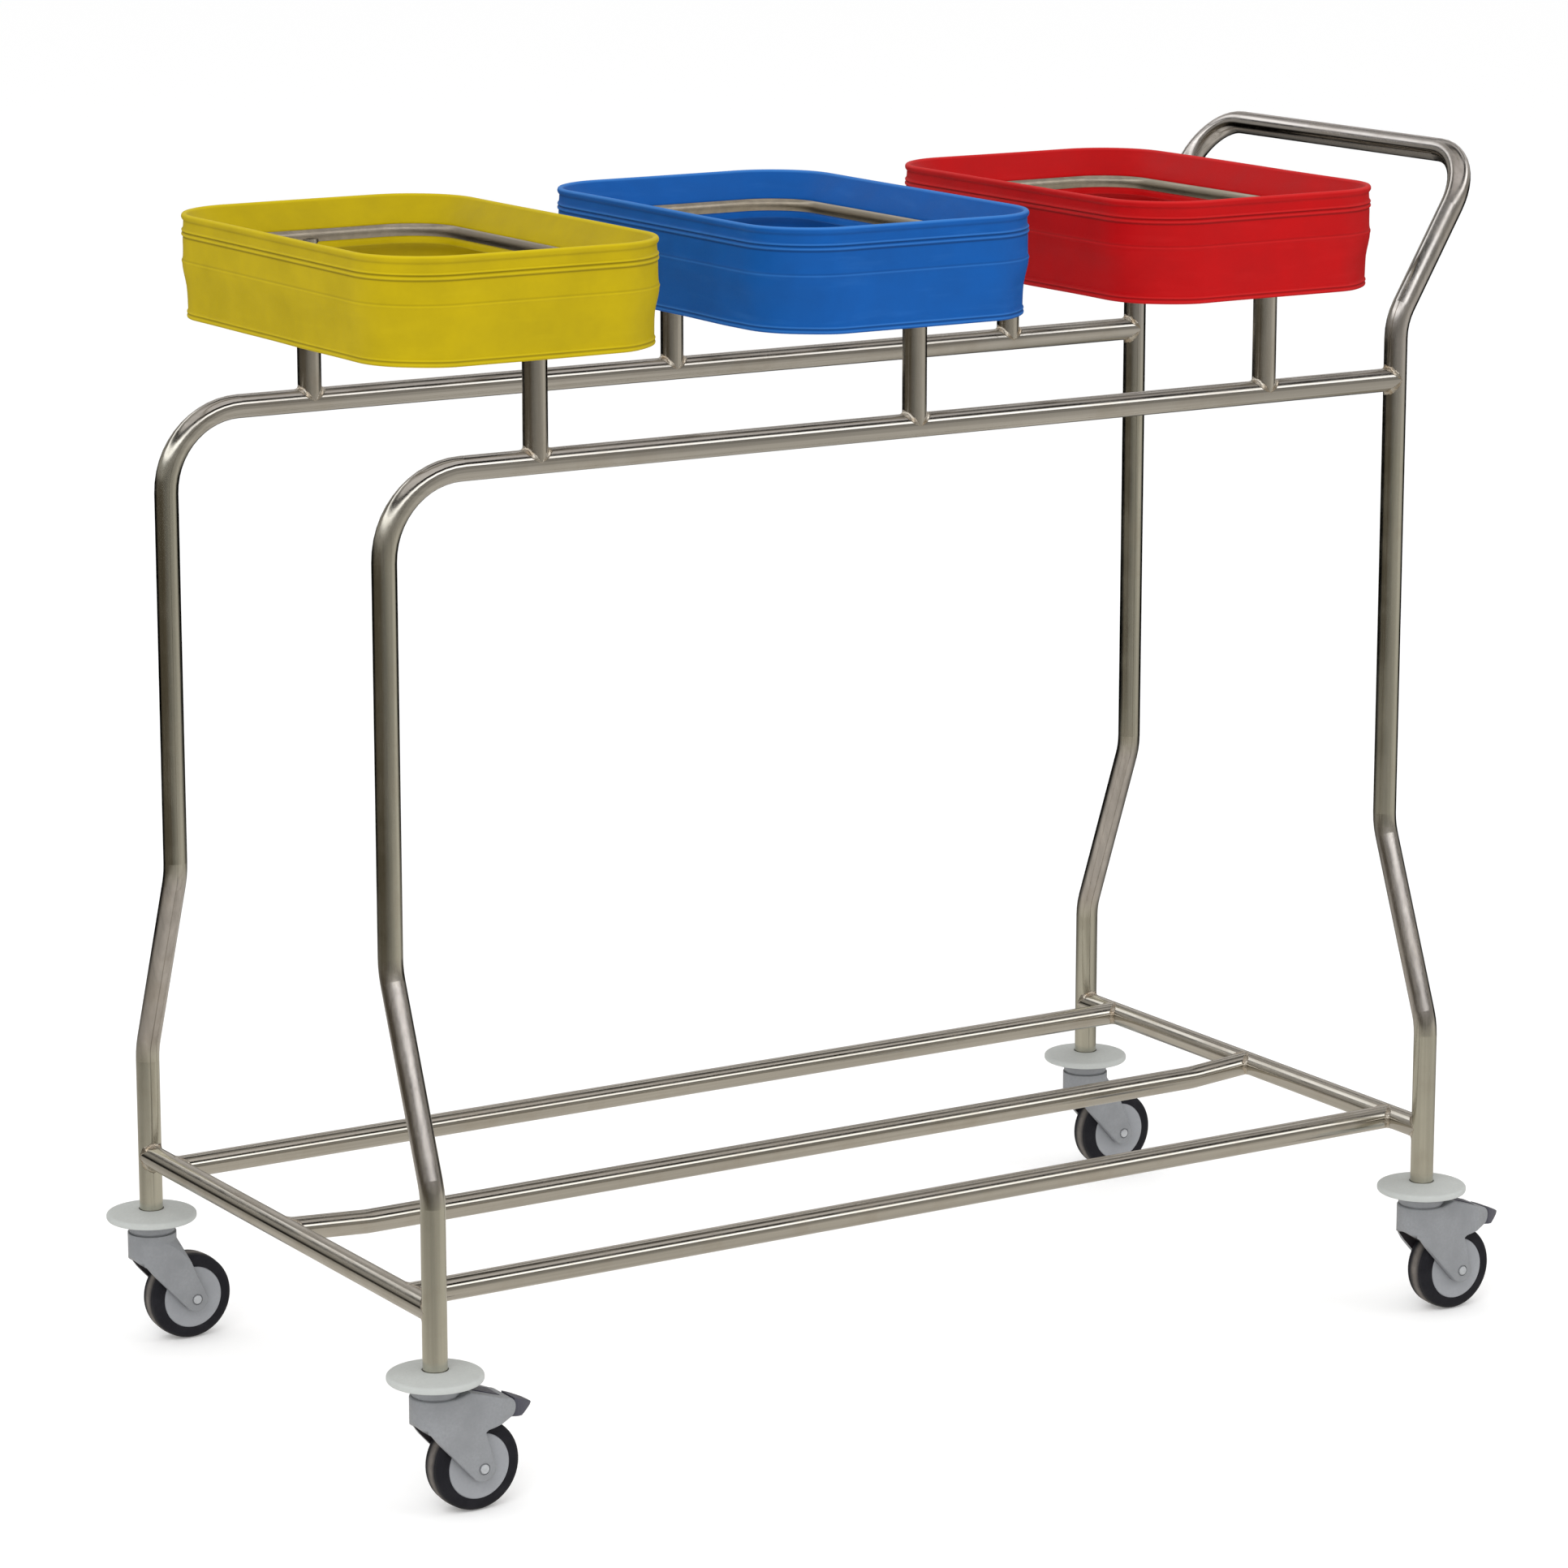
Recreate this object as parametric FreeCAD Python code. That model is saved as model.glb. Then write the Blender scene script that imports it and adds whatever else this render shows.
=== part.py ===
import FreeCAD
import Part
import math
import os

# Laundry sorter on wheels: a welded stainless tube frame that carries three bag hoops, each
# with a rubber clamping ring, on four swivel casters. The two left casters have brakes.
# Millimetres. +Z is up, the push handle is at the +X end, and the left side is -Y.
# The origin lies on the floor, under the centre of the overall box.

Vector = FreeCAD.Vector
X_AXIS = Vector(1, 0, 0)
Y_AXIS = Vector(0, 1, 0)
Z_AXIS = Vector(0, 0, 1)

# Modelling allowances: how far a cutting shape runs past the faces it cuts, and a length
# below which two sizes count as equal
OVERCUT = 1.0
SAME = 0.01

# Frame tube
TUBE_R = 10.65
TUBE_WALL = 1.6
TUBE_BORE_R = TUBE_R - TUBE_WALL

# Frame layout. Stations along X count from the front legs' axis.
LEG_SPACING = 1043.5
UPPER_LEG_Y = 204.5
LOWER_LEG_Y = 273.0
LEG_END_Z = 125.5
KINK_LOW_Z = 279.0
KINK_HIGH_Z = 456.0
KINK_BEND_R = 57.0
TOP_RAIL_Z = 872.0
FRONT_BEND_R = 72.0
BASE_Z = 177.7
BASE_RAIL_Y = 222.5
MIDDLE_RAIL_DIP = 5.2
MIDDLE_RAIL_DIP_FRONT = 80.0
MIDDLE_RAIL_DIP_REAR = 68.0
MIDDLE_RAIL_BEND_R = 90.0

# Push handle, one tube with both rear legs
HANDLE_KICK_Z = 925.5
HANDLE_REACH = 87.3
HANDLE_BAR_Z = 1071.8
HANDLE_CORNER_R = 52.0
HANDLE_KICK_BEND_R = 57.0

# Bag stations
POST_FIRST_X = 143.0
POST_SPACING = 375.5
HOOP_TUBE_R = 7.75
HOOP_WALL = 1.5
HOOP_Z = 1018.5
HOOP_HALF_X = 127.8
HOOP_HALF_Y = 204.5
HOOP_CORNER_R = 53.0
POST_TOP_Z = HOOP_Z - 2.0

# Rubber rings. Offsets are measured outwards from the hoop's centre line.
RING_TOP_Z = 1050.0
RING_BOTTOM_Z = 958.3
RING_OUT = 13.4
SKIRT_IN = 11.2
RIM_WIDTH = 5.0
RIM_ROUND = 1.6
SOFT_GAP = 0.3
GRIP_TOP = 6.0
GRIP_BOTTOM = -4.8
LIP_IN = -9.3
LIP_BOTTOM = -11.3
LIP_EDGE = 1.0
SHOULDER_DROP = 16.0

# Bumper discs
DISC_R = 41.2
DISC_BOTTOM_Z = 117.8
DISC_RIM_Z = 123.6
DISC_CROWN_Z = 127.6
DISC_CROWN_WIDTH = 3.0
DISC_SAG = 1.2
DISC_EDGE_ROUND = 2.6
DISC_EDGE_RISE = 0.8
DISC_COLLAR_R = 8.5
DISC_COLLAR_Z = 116.65
LEG_SOCKET_GAP = 0.9

# Caster stems
STEM_R = 6.0
STEM_PLUG_R = 8.95
STEM_PLUG_TOP_Z = 171.0
STEM_HEAD_R = 8.5
STEM_HEAD_BOTTOM_Z = 99.6
STEM_HEAD_TOP_Z = 102.6
STEM_CHAMFER = 1.5

# Caster forks. X is measured from the swivel axis, away from the direction of travel.
TRAIL = 33.7
WHEEL_R = 40.0
AXLE_Z = WHEEL_R
NECK_R = 21.2
NECK_BOTTOM_Z = 106.6
NECK_TOP_Z = 116.8
NECK_ROUND = 1.2
NECK_GROOVE_R = 19.9
HOOD_R = 22.3
HOOD_TOP_Z = 105.6
HOOD_FRONT_Z = 88.0
CHEEK_IN = 15.2
ARM_END_R = 11.8
ARM_FRONT = (-7.0, 67.5)
CHIN_MIDDLE = (-19.6, 80.6)
CHIN_END = (-13.6, 76.2)
OPEN_BACK = (31.3, 71.6)
OPEN_BACK_TOP_X = 17.2
FORK_EDGE_ROUND = 1.8
BEARING_POCKET_R = 14.0
BEARING_BOTTOM_Z = 108.6
BEARING_TOP_Z = 116.6
CAVITY_R = 19.4
CAVITY_TOP_Z = 102.8
CAVITY_REAR_Z = 84.0
SHOULDER_LOW_R = 37.4
SHOULDER_LOW_Z = 74.3
SHOULDER_TOP_Z = 98.5
BOSS_R = 6.2
BOSS_END_Y = 13.5
AXLE_RECESS_R = 5.2
AXLE_RECESS = 1.0
SEAT_GAP = 0.05

# Fork shroud over the brake, from the hood's top along the sloping deck to its round end
DECK_START_X = 22.0
DECK_START_Z = 109.2
DECK_FOOT_X = 9.0
BRAKE_ROOM_X = 18.0
DECK_SLOPE = -0.34
DECK_THICK = 3.0
SHROUD_BACK = [(36.4, 71.2), (38.8, 73.0), (44.5, 74.0), (63.4, 79.0)]
SHROUD_END_X = 68.6
SHROUD_END_Z = 87.3
SHROUD_END_TOP_X = 60.4
SHROUD_END_ROOM = 5.0
SHROUD_NARROW_IN = 12.4
SHROUD_TAPER_X = 50.5
SHROUD_NARROW_Y = 14.8
WINDOW_START_X = 29.0
WINDOW_END_X = 56.0
WINDOW_HALF_Y = 11.0

# Brake pedals and shoes
PEDAL_PIVOT_X = 27.0
PEDAL_PIVOT_Z = 98.6
PEDAL_PIN_R = 2.0
PEDAL_PIN_END_Y = 18.5
PEDAL_HUB_R = 4.6
PEDAL_HALF_Y = 11.6
PEDAL_GAP = 0.6
PEDAL_BAR_HEIGHT = 7.0
PEDAL_BAR_END_X = 58.5
PEDAL_PAD_RISE = 1.0
PEDAL_ROOT = 1.0
PEDAL_TIP_START_X = 69.0
PEDAL_TIP_TOP = [(75.4, 91.0), (84.4, 87.3), (88.8, 84.8)]
PEDAL_TIP = (90.6, 83.2)
PEDAL_TIP_UNDER = [(88.4, 81.4), (77.0, 76.0), (64.6, 77.6)]
PEDAL_WAIST_X = 72.0
PEDAL_SIDE = (82.0, 6.8)
PEDAL_NOSE_BACK = 0.8
PEDAL_NOSE_HALF_Y = 1.4
PEDAL_TRAVEL = 10.0
SHOE_START_X = 43.0
SHOE_END_X = 54.0
SHOE_HALF_Y = 8.0
SHOE_LOW_Z = 76.0
LOCKED_GAP = 0.35

# Thread guards
GUARD_CLEARANCE_R = 42.2
GUARD_LOW = (1.6, 67.2)
GUARD_FRONT = [(-11.0, 85.0), (-16.5, 91.0), (-12.0, 95.0)]
GUARD_INNER_X = 12.0
GUARD_INNER_TOP_Z = 84.0

# Wheels
HUB_R = 28.75
HUB_HALF_Y = 13.3
HUB_BORE_R = 6.5
HUB_EDGE_ROUND = 0.8
TYRE_HALF_Y = 13.0
TREAD_HALF_Y = 7.5
TREAD_EDGE_R = 39.4
SHOULDER_R = 34.0
SHOULDER_MID_R = 38.1
SHOULDER_MID_Y = 11.4
TYRE_SEAT_GAP = 0.05
AXLE_R = 4.0
AXLE_END_Y = 23.8
AXLE_DOME = 0.7

# Ball bearings
SWIVEL_RING_IN_R = 8.6
SWIVEL_RING_OUT_R = 11.6
SWIVEL_BALL_R = 2.35
SWIVEL_BALL_COUNT = 8
BALL_GAP = 0.1
WHEEL_BEARING_OUT_R = 11.0
WHEEL_BEARING_WIDTH = 7.0
WHEEL_RING_IN_R = 6.0
WHEEL_RING_OUT_R = 9.2
SHIELD_THICK = 1.0
SHIELD_INSET = 0.5

# The box runs from the front bumper discs to the handle bar.
HANDLE_BAR_X = LEG_SPACING + HANDLE_REACH
FRONT_X = -(HANDLE_BAR_X + TUBE_R - DISC_R) / 2
REAR_X = FRONT_X + LEG_SPACING
STATIONS = {"front": 0, "middle": 1, "rear": 2}
RING_COLOURS = {"front": "yellow", "middle": "blue", "rear": "red"}
SIDES = {"left": -1, "right": 1}
CASTERS = {
    "front_left": (FRONT_X, -LOWER_LEG_Y, True),
    "front_right": (FRONT_X, LOWER_LEG_Y, False),
    "rear_left": (REAR_X, -LOWER_LEG_Y, True),
    "rear_right": (REAR_X, LOWER_LEG_Y, False),
}


# ---------------------------------------------------------------- shape helpers

def line(a, b):
    return Part.LineSegment(a, b).toShape()


def arc(a, mid, b):
    return Part.Arc(a, mid, b).toShape()


def bent_path(points, radii):
    """A wire through the points, with each inner corner turned into an arc of its radius."""
    edges = []
    start = points[0]
    for before, corner, after, radius in zip(points, points[1:], points[2:], radii):
        towards = (before - corner).normalize()
        away = (after - corner).normalize()
        half = towards.getAngle(away) / 2
        reach = radius / math.tan(half)
        bisector = (towards + away).normalize()
        middle = corner + bisector * (radius / math.sin(half) - radius)
        edges.append(line(start, corner + towards * reach))
        edges.append(arc(corner + towards * reach, middle, corner + away * reach))
        start = corner + away * reach
    edges.append(line(start, points[-1]))
    return Part.Wire(edges)


def disc_face(centre, direction, outer, inner=0.0):
    """A round face, or a ring-shaped one."""
    face = Part.Face(Part.Wire(Part.makeCircle(outer, centre, direction)))
    if inner:
        hole = Part.Face(Part.Wire(Part.makeCircle(inner, centre, direction)))
        face = face.cut(hole).Faces[0]
    return face


def along(points, radii, outer, inner=0.0):
    """A bent round tube, or a rod when there is no inner radius."""
    path = bent_path(points, radii)
    return path.makePipe(disc_face(points[0], points[1] - points[0], outer, inner))


def rod(centre, axis, radius, half_length):
    """A cylinder centred on a point."""
    return Part.makeCylinder(radius, 2 * half_length, centre - axis * half_length, axis)


def between(radius, bottom, top, x=0.0, y=0.0):
    """An upright cylinder between two heights."""
    return Part.makeCylinder(radius, top - bottom, Vector(x, y, bottom), Z_AXIS)


def ring_between(outer, inner, bottom, top):
    return between(outer, bottom, top).cut(between(inner, bottom, top))


def plate(points, half_y):
    """A slab with the outline (x, z), centred on the XZ plane."""
    corners = [Vector(x, -half_y, z) for x, z in points]
    face = Part.Face(Part.makePolygon(corners + corners[:1]))
    return face.extrude(Vector(0, 2 * half_y, 0))


def box_between(low, high):
    low = Vector(*low)
    size = Vector(*high) - low
    return Part.makeBox(size.x, size.y, size.z, low)


def plan(points, bottom, top):
    """A slab with the outline (x, y) between two heights."""
    corners = [Vector(x, y, bottom) for x, y in points]
    face = Part.Face(Part.makePolygon(corners + corners[:1]))
    return face.extrude(Vector(0, 0, top - bottom))


def edge_slab(edges, half_y):
    """A slab from edges drawn in the plane y = -half_y."""
    return Part.Face(Part.Wire(edges)).extrude(Vector(0, 2 * half_y, 0))


def turned(points, centre, axis, reference):
    """A solid of revolution. Points are (radius, height) along the axis."""
    corners = [centre + reference * r + axis * h for r, h in points]
    face = Part.Face(Part.makePolygon(corners + corners[:1]))
    return face.revolve(centre, axis, 360)


def rounded(shape, radius, wanted):
    """Rounds the edges for which wanted(edge) is true."""
    edges = [edge for edge in shape.Edges if wanted(edge)]
    return shape.makeFillet(radius, edges)


def one_solid(shape):
    """The shape's only solid."""
    if len(shape.Solids) != 1:
        raise ValueError("expected one solid and found %d" % len(shape.Solids))
    return shape.Solids[0]


def save(node, shape):
    if not shape.isValid():
        raise ValueError(node + " is not a valid shape")
    shape.exportStep("parts/" + node + ".step")


# ---------------------------------------------------------------- frame

def leg_points(x, side):
    """A leg from its foot up to its upper kink."""
    return [
        Vector(x, side * LOWER_LEG_Y, LEG_END_Z),
        Vector(x, side * LOWER_LEG_Y, KINK_LOW_Z),
        Vector(x, side * UPPER_LEG_Y, KINK_HIGH_Z),
    ]


def leg_rods():
    """Solid rods where the lower legs are, to shape the tubes that meet them."""
    height = (KINK_LOW_Z + LEG_END_Z) / 2
    half = (KINK_LOW_Z - LEG_END_Z) / 2
    rods = [rod(Vector(x, y, height), Z_AXIS, TUBE_R, half) for x, y, _ in CASTERS.values()]
    return Part.makeCompound(rods)


def cross_rods():
    """Solid rods where the base cross tubes are."""
    rods = [rod(Vector(x, 0, BASE_Z), Y_AXIS, TUBE_R, LOWER_LEG_Y) for x in (FRONT_X, REAR_X)]
    return Part.makeCompound(rods)


def make_side_tube(side):
    """Front leg and top rail in one bent tube, coped onto the rear leg."""
    y = side * UPPER_LEG_Y
    points = leg_points(FRONT_X, side)
    points.append(Vector(FRONT_X, y, TOP_RAIL_Z))
    points.append(Vector(REAR_X, y, TOP_RAIL_Z))
    radii = [KINK_BEND_R, KINK_BEND_R, FRONT_BEND_R]
    tube = along(points, radii, TUBE_R, TUBE_BORE_R)
    rear_leg = rod(Vector(REAR_X, y, TOP_RAIL_Z), Z_AXIS, TUBE_R, 2 * TUBE_R)
    return one_solid(tube.cut(rear_leg))


def make_handle_tube():
    """Both rear legs and the push handle in one bent tube."""
    kick = [Vector(REAR_X, side * UPPER_LEG_Y, HANDLE_KICK_Z) for side in (-1, 1)]
    bar = [Vector(k.x + HANDLE_REACH, k.y, HANDLE_BAR_Z) for k in kick]
    points = leg_points(REAR_X, -1) + [kick[0], bar[0], bar[1], kick[1]]
    points += leg_points(REAR_X, 1)[::-1]
    bends = [KINK_BEND_R, KINK_BEND_R, HANDLE_KICK_BEND_R, HANDLE_CORNER_R]
    return one_solid(along(points, bends + bends[::-1], TUBE_R, TUBE_BORE_R))


def make_base_cross(x):
    ends = [Vector(x, -LOWER_LEG_Y, BASE_Z), Vector(x, LOWER_LEG_Y, BASE_Z)]
    return one_solid(along(ends, [], TUBE_R, TUBE_BORE_R).cut(leg_rods()))


def make_base_rail(y):
    ends = [Vector(FRONT_X, y, BASE_Z), Vector(REAR_X, y, BASE_Z)]
    return one_solid(along(ends, [], TUBE_R, TUBE_BORE_R).cut(cross_rods()))


def make_middle_rail():
    """The middle base rail dips a little between its ends."""
    low = BASE_Z - MIDDLE_RAIL_DIP
    points = [
        Vector(FRONT_X + OVERCUT, 0, BASE_Z),
        Vector(FRONT_X + MIDDLE_RAIL_DIP_FRONT, 0, low),
        Vector(REAR_X - MIDDLE_RAIL_DIP_REAR, 0, low),
        Vector(REAR_X - OVERCUT, 0, BASE_Z),
    ]
    tube = along(points, [MIDDLE_RAIL_BEND_R] * 2, TUBE_R, TUBE_BORE_R)
    return one_solid(tube.cut(cross_rods()))


# ---------------------------------------------------------------- bag stations

def station_x(index):
    return FRONT_X + POST_FIRST_X + index * POST_SPACING


def make_post(index, side):
    """A post coped onto the top rail and notched under the hoop."""
    x = station_x(index)
    y = side * UPPER_LEG_Y
    post = along([Vector(x, y, TOP_RAIL_Z), Vector(x, y, POST_TOP_Z)], [], TUBE_R, TUBE_BORE_R)
    rail = rod(Vector(x, y, TOP_RAIL_Z), X_AXIS, TUBE_R, 2 * TUBE_R)
    hoop = rod(Vector(x, y, HOOP_Z), X_AXIS, HOOP_TUBE_R, 2 * TUBE_R)
    return one_solid(post.cut(rail).cut(hoop))


def hoop_path(index):
    """A rounded rectangle that starts halfway along its +X side."""
    x = station_x(index)
    corners = [
        Vector(x + HOOP_HALF_X, 0, HOOP_Z),
        Vector(x + HOOP_HALF_X, HOOP_HALF_Y, HOOP_Z),
        Vector(x - HOOP_HALF_X, HOOP_HALF_Y, HOOP_Z),
        Vector(x - HOOP_HALF_X, -HOOP_HALF_Y, HOOP_Z),
        Vector(x + HOOP_HALF_X, -HOOP_HALF_Y, HOOP_Z),
        Vector(x + HOOP_HALF_X, 0, HOOP_Z),
    ]
    return bent_path(corners, [HOOP_CORNER_R] * 4)


def make_hoop(index):
    path = hoop_path(index)
    start = Vector(station_x(index) + HOOP_HALF_X, 0, HOOP_Z)
    outside = path.makePipe(disc_face(start, Y_AXIS, HOOP_TUBE_R))
    bore = path.makePipe(disc_face(start, Y_AXIS, HOOP_TUBE_R - HOOP_WALL))
    return one_solid(outside.cut(bore))


def ring_section(centre):
    """The rubber's cross-section: rim, pocket that grips the hoop, lip and hanging skirt."""
    pocket = HOOP_TUBE_R + SOFT_GAP

    def at(out, z):
        return centre + Vector(out, 0, z - HOOP_Z)

    grip_top = at(-math.sqrt(pocket ** 2 - GRIP_TOP ** 2), HOOP_Z + GRIP_TOP)
    grip_bottom = at(-math.sqrt(pocket ** 2 - GRIP_BOTTOM ** 2), HOOP_Z + GRIP_BOTTOM)
    lip_z = HOOP_Z + LIP_BOTTOM
    edges = [arc(grip_top, at(pocket, HOOP_Z), grip_bottom)]
    corners = [
        grip_bottom,
        at(LIP_IN, HOOP_Z + GRIP_BOTTOM),
        at(LIP_IN, lip_z),
        at(0, lip_z - LIP_EDGE),
        at(SKIRT_IN, HOOP_Z - SHOULDER_DROP),
        at(SKIRT_IN, RING_BOTTOM_Z),
        at(RING_OUT, RING_BOTTOM_Z),
        at(RING_OUT, RING_TOP_Z - RIM_ROUND),
        at(RING_OUT - RIM_ROUND, RING_TOP_Z),
        at(RING_OUT - RIM_WIDTH, RING_TOP_Z),
        at(LIP_IN + LIP_EDGE, HOOP_Z + GRIP_TOP + LIP_EDGE),
        grip_top,
    ]
    edges += [line(a, b) for a, b in zip(corners, corners[1:])]
    return Part.Face(Part.Wire(edges))


def make_rubber_ring(index):
    x = station_x(index)
    section = ring_section(Vector(x + HOOP_HALF_X, 0, HOOP_Z))
    ring = hoop_path(index).makePipe(section)
    for side in SIDES.values():
        ring = ring.cut(between(TUBE_R + SOFT_GAP, RING_BOTTOM_Z - OVERCUT, POST_TOP_Z + SOFT_GAP,
                                x, side * UPPER_LEG_Y))
    return one_solid(ring)


# ---------------------------------------------------------------- casters, fixed pieces

def make_bumper_disc():
    """A domed disc with a round rim. The leg stands in its counterbore."""
    rim_in = DISC_R - DISC_EDGE_ROUND
    hole_r = STEM_R + SEAT_GAP
    socket_r = TUBE_R + LEG_SOCKET_GAP
    points = [
        (hole_r, DISC_COLLAR_Z),
        (DISC_COLLAR_R, DISC_COLLAR_Z),
        (DISC_COLLAR_R, DISC_BOTTOM_Z),
        (DISC_R, DISC_BOTTOM_Z),
        (DISC_R, DISC_RIM_Z),
        (rim_in, DISC_RIM_Z + DISC_EDGE_RISE),
        (2 * rim_in / 3, DISC_CROWN_Z - DISC_SAG),
        (socket_r + DISC_CROWN_WIDTH, DISC_CROWN_Z),
        (socket_r, DISC_CROWN_Z),
        (socket_r, LEG_END_Z),
        (hole_r, LEG_END_Z),
    ]
    disc = turned(points, Vector(0, 0, 0), Z_AXIS, X_AXIS)
    return rounded(disc, DISC_EDGE_ROUND, lambda edge: is_outer_circle(edge, DISC_R))


def is_outer_circle(edge, radius):
    circle = edge.Curve
    return isinstance(circle, Part.Circle) and abs(circle.Radius - radius) < SAME


def make_stem():
    """Plug inside the leg, shank through the disc, and the riveted head that holds the fork."""
    points = [
        (0, STEM_HEAD_BOTTOM_Z),
        (STEM_HEAD_R - STEM_CHAMFER, STEM_HEAD_BOTTOM_Z),
        (STEM_HEAD_R, STEM_HEAD_BOTTOM_Z + STEM_CHAMFER),
        (STEM_HEAD_R, STEM_HEAD_TOP_Z),
        (STEM_R, STEM_HEAD_TOP_Z),
        (STEM_R, LEG_END_Z),
        (STEM_PLUG_R, LEG_END_Z),
        (STEM_PLUG_R, STEM_PLUG_TOP_Z - STEM_CHAMFER),
        (STEM_PLUG_R - STEM_CHAMFER, STEM_PLUG_TOP_Z),
        (0, STEM_PLUG_TOP_Z),
    ]
    return turned(points, Vector(0, 0, 0), Z_AXIS, X_AXIS)


# ---------------------------------------------------------------- casters, swivelling pieces

def make_swivel_bearing():
    """Two races with a ball track each, and the balls."""
    mid_z = (BEARING_BOTTOM_Z + BEARING_TOP_Z) / 2
    track_r = (SWIVEL_RING_IN_R + SWIVEL_RING_OUT_R) / 2
    track = Part.makeTorus(track_r, SWIVEL_BALL_R + BALL_GAP, Vector(0, 0, mid_z), Z_AXIS)
    inner = ring_between(SWIVEL_RING_IN_R, STEM_R + SEAT_GAP, BEARING_BOTTOM_Z, BEARING_TOP_Z)
    outer = ring_between(BEARING_POCKET_R - SEAT_GAP, SWIVEL_RING_OUT_R, BEARING_BOTTOM_Z,
                         BEARING_TOP_Z)
    pieces = [inner.cut(track), outer.cut(track)]
    for i in range(SWIVEL_BALL_COUNT):
        angle = 2 * math.pi * i / SWIVEL_BALL_COUNT
        centre = Vector(track_r * math.cos(angle), track_r * math.sin(angle), mid_z)
        pieces.append(Part.makeSphere(SWIVEL_BALL_R, centre))
    return Part.makeCompound(pieces)


def deck_z(x):
    """Height of the brake shroud's top, which slopes down to the rear."""
    return DECK_START_Z + DECK_SLOPE * (x - DECK_START_X)


def arm_tangents():
    """Where the arm's two straight edges meet its round end, as (front, bottom, rear)."""
    run = Vector(TRAIL - ARM_FRONT[0], 0, AXLE_Z - ARM_FRONT[1])
    lean = math.atan2(-run.z, run.x) + math.asin(ARM_END_R / run.Length)
    front = (TRAIL - ARM_END_R * math.sin(lean), AXLE_Z - ARM_END_R * math.cos(lean))
    bottom = (TRAIL + ARM_END_R * math.sin(lean / 2), AXLE_Z - ARM_END_R * math.cos(lean / 2))
    rear = (TRAIL + ARM_END_R, AXLE_Z)
    return front, bottom, rear


def cheek_profile(y, braked):
    """The side view of the cheeks: hood front, arm, and the brake shroud if there is one."""

    def at(point):
        return Vector(point[0], y, point[1])

    front, bottom, rear = arm_tangents()
    edges = [arc(at(front), at(bottom), at(rear))]
    if braked:
        back = [rear] + SHROUD_BACK
        edges += [line(at(a), at(b)) for a, b in zip(back, back[1:])]
        end = (SHROUD_END_TOP_X, deck_z(SHROUD_END_TOP_X))
        edges.append(arc(at(back[-1]), at((SHROUD_END_X, SHROUD_END_Z)), at(end)))
        top = [end, (DECK_START_X, DECK_START_Z), (DECK_FOOT_X, HOOD_TOP_Z)]
    else:
        top = [rear, OPEN_BACK, (OPEN_BACK_TOP_X, HOOD_TOP_Z)]
    top += [(0, HOOD_TOP_Z), (-HOOD_R, HOOD_TOP_Z), (-HOOD_R, HOOD_FRONT_Z)]
    edges += [line(at(a), at(b)) for a, b in zip(top, top[1:])]
    edges.append(arc(at(top[-1]), at(CHIN_MIDDLE), at(CHIN_END)))
    edges.append(line(at(CHIN_END), at(ARM_FRONT)))
    edges.append(line(at(ARM_FRONT), at(front)))
    return edges


def mirrored(outline):
    """The outline (x, y) followed by its mirror image, back to the start."""
    return outline + [(x, -y) for x, y in outline[::-1]]


def fork_plan():
    """The top view of the fork: a half-round front, parallel cheeks and a narrower shroud."""
    outline = [(0, -HOOD_R), (SHROUD_TAPER_X, -HOOD_R), (SHROUD_END_X, -SHROUD_NARROW_Y)]
    return plan(mirrored(outline), 0, NECK_TOP_Z).fuse(between(HOOD_R, 0, NECK_TOP_Z))


def is_cheek_edge(edge):
    """True for the edges around the outer faces behind the swivel axis, except upright ones."""
    box = edge.BoundBox
    upright = box.XLength + box.YLength < SAME
    return box.YMin * box.YMax > 0 and box.XMin > -SAME and not upright


def make_neck():
    """The round housing of the swivel bearing, with a groove between it and the hood."""
    groove = between(NECK_GROOVE_R, HOOD_TOP_Z - FORK_EDGE_ROUND, NECK_TOP_Z)
    points = [
        (0, NECK_BOTTOM_Z),
        (NECK_R - NECK_ROUND, NECK_BOTTOM_Z),
        (NECK_R - NECK_ROUND / 3, NECK_BOTTOM_Z + NECK_ROUND / 3),
        (NECK_R, NECK_BOTTOM_Z + NECK_ROUND),
        (NECK_R, NECK_TOP_Z),
        (0, NECK_TOP_Z),
    ]
    return groove.fuse(turned(points, Vector(0, 0, 0), Z_AXIS, X_AXIS))


def shoulder_cone():
    """Rounds the unbraked cheeks' rear corners, so that they flow out of the round hood."""
    cone = Part.makeCone(SHOULDER_LOW_R, HOOD_R, SHOULDER_TOP_Z - SHOULDER_LOW_Z,
                         Vector(0, 0, SHOULDER_LOW_Z), Z_AXIS)
    return cone.fuse(between(3 * HOOD_R, 0, SHOULDER_LOW_Z))


def make_fork(braked):
    cheeks = edge_slab(cheek_profile(-HOOD_R, braked), HOOD_R)
    body = one_solid(cheeks.common(fork_plan()).removeSplitter())
    body = rounded(body, FORK_EDGE_ROUND, is_cheek_edge)
    if not braked:
        body = body.common(shoulder_cone()).fuse(between(HOOD_R, CAVITY_REAR_Z, HOOD_TOP_Z))
    body = body.fuse(make_neck())
    body = body.cut(fork_cavity(braked)).fuse(axle_bosses())
    return one_solid(body.cut(fork_holes(braked)).removeSplitter())


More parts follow.
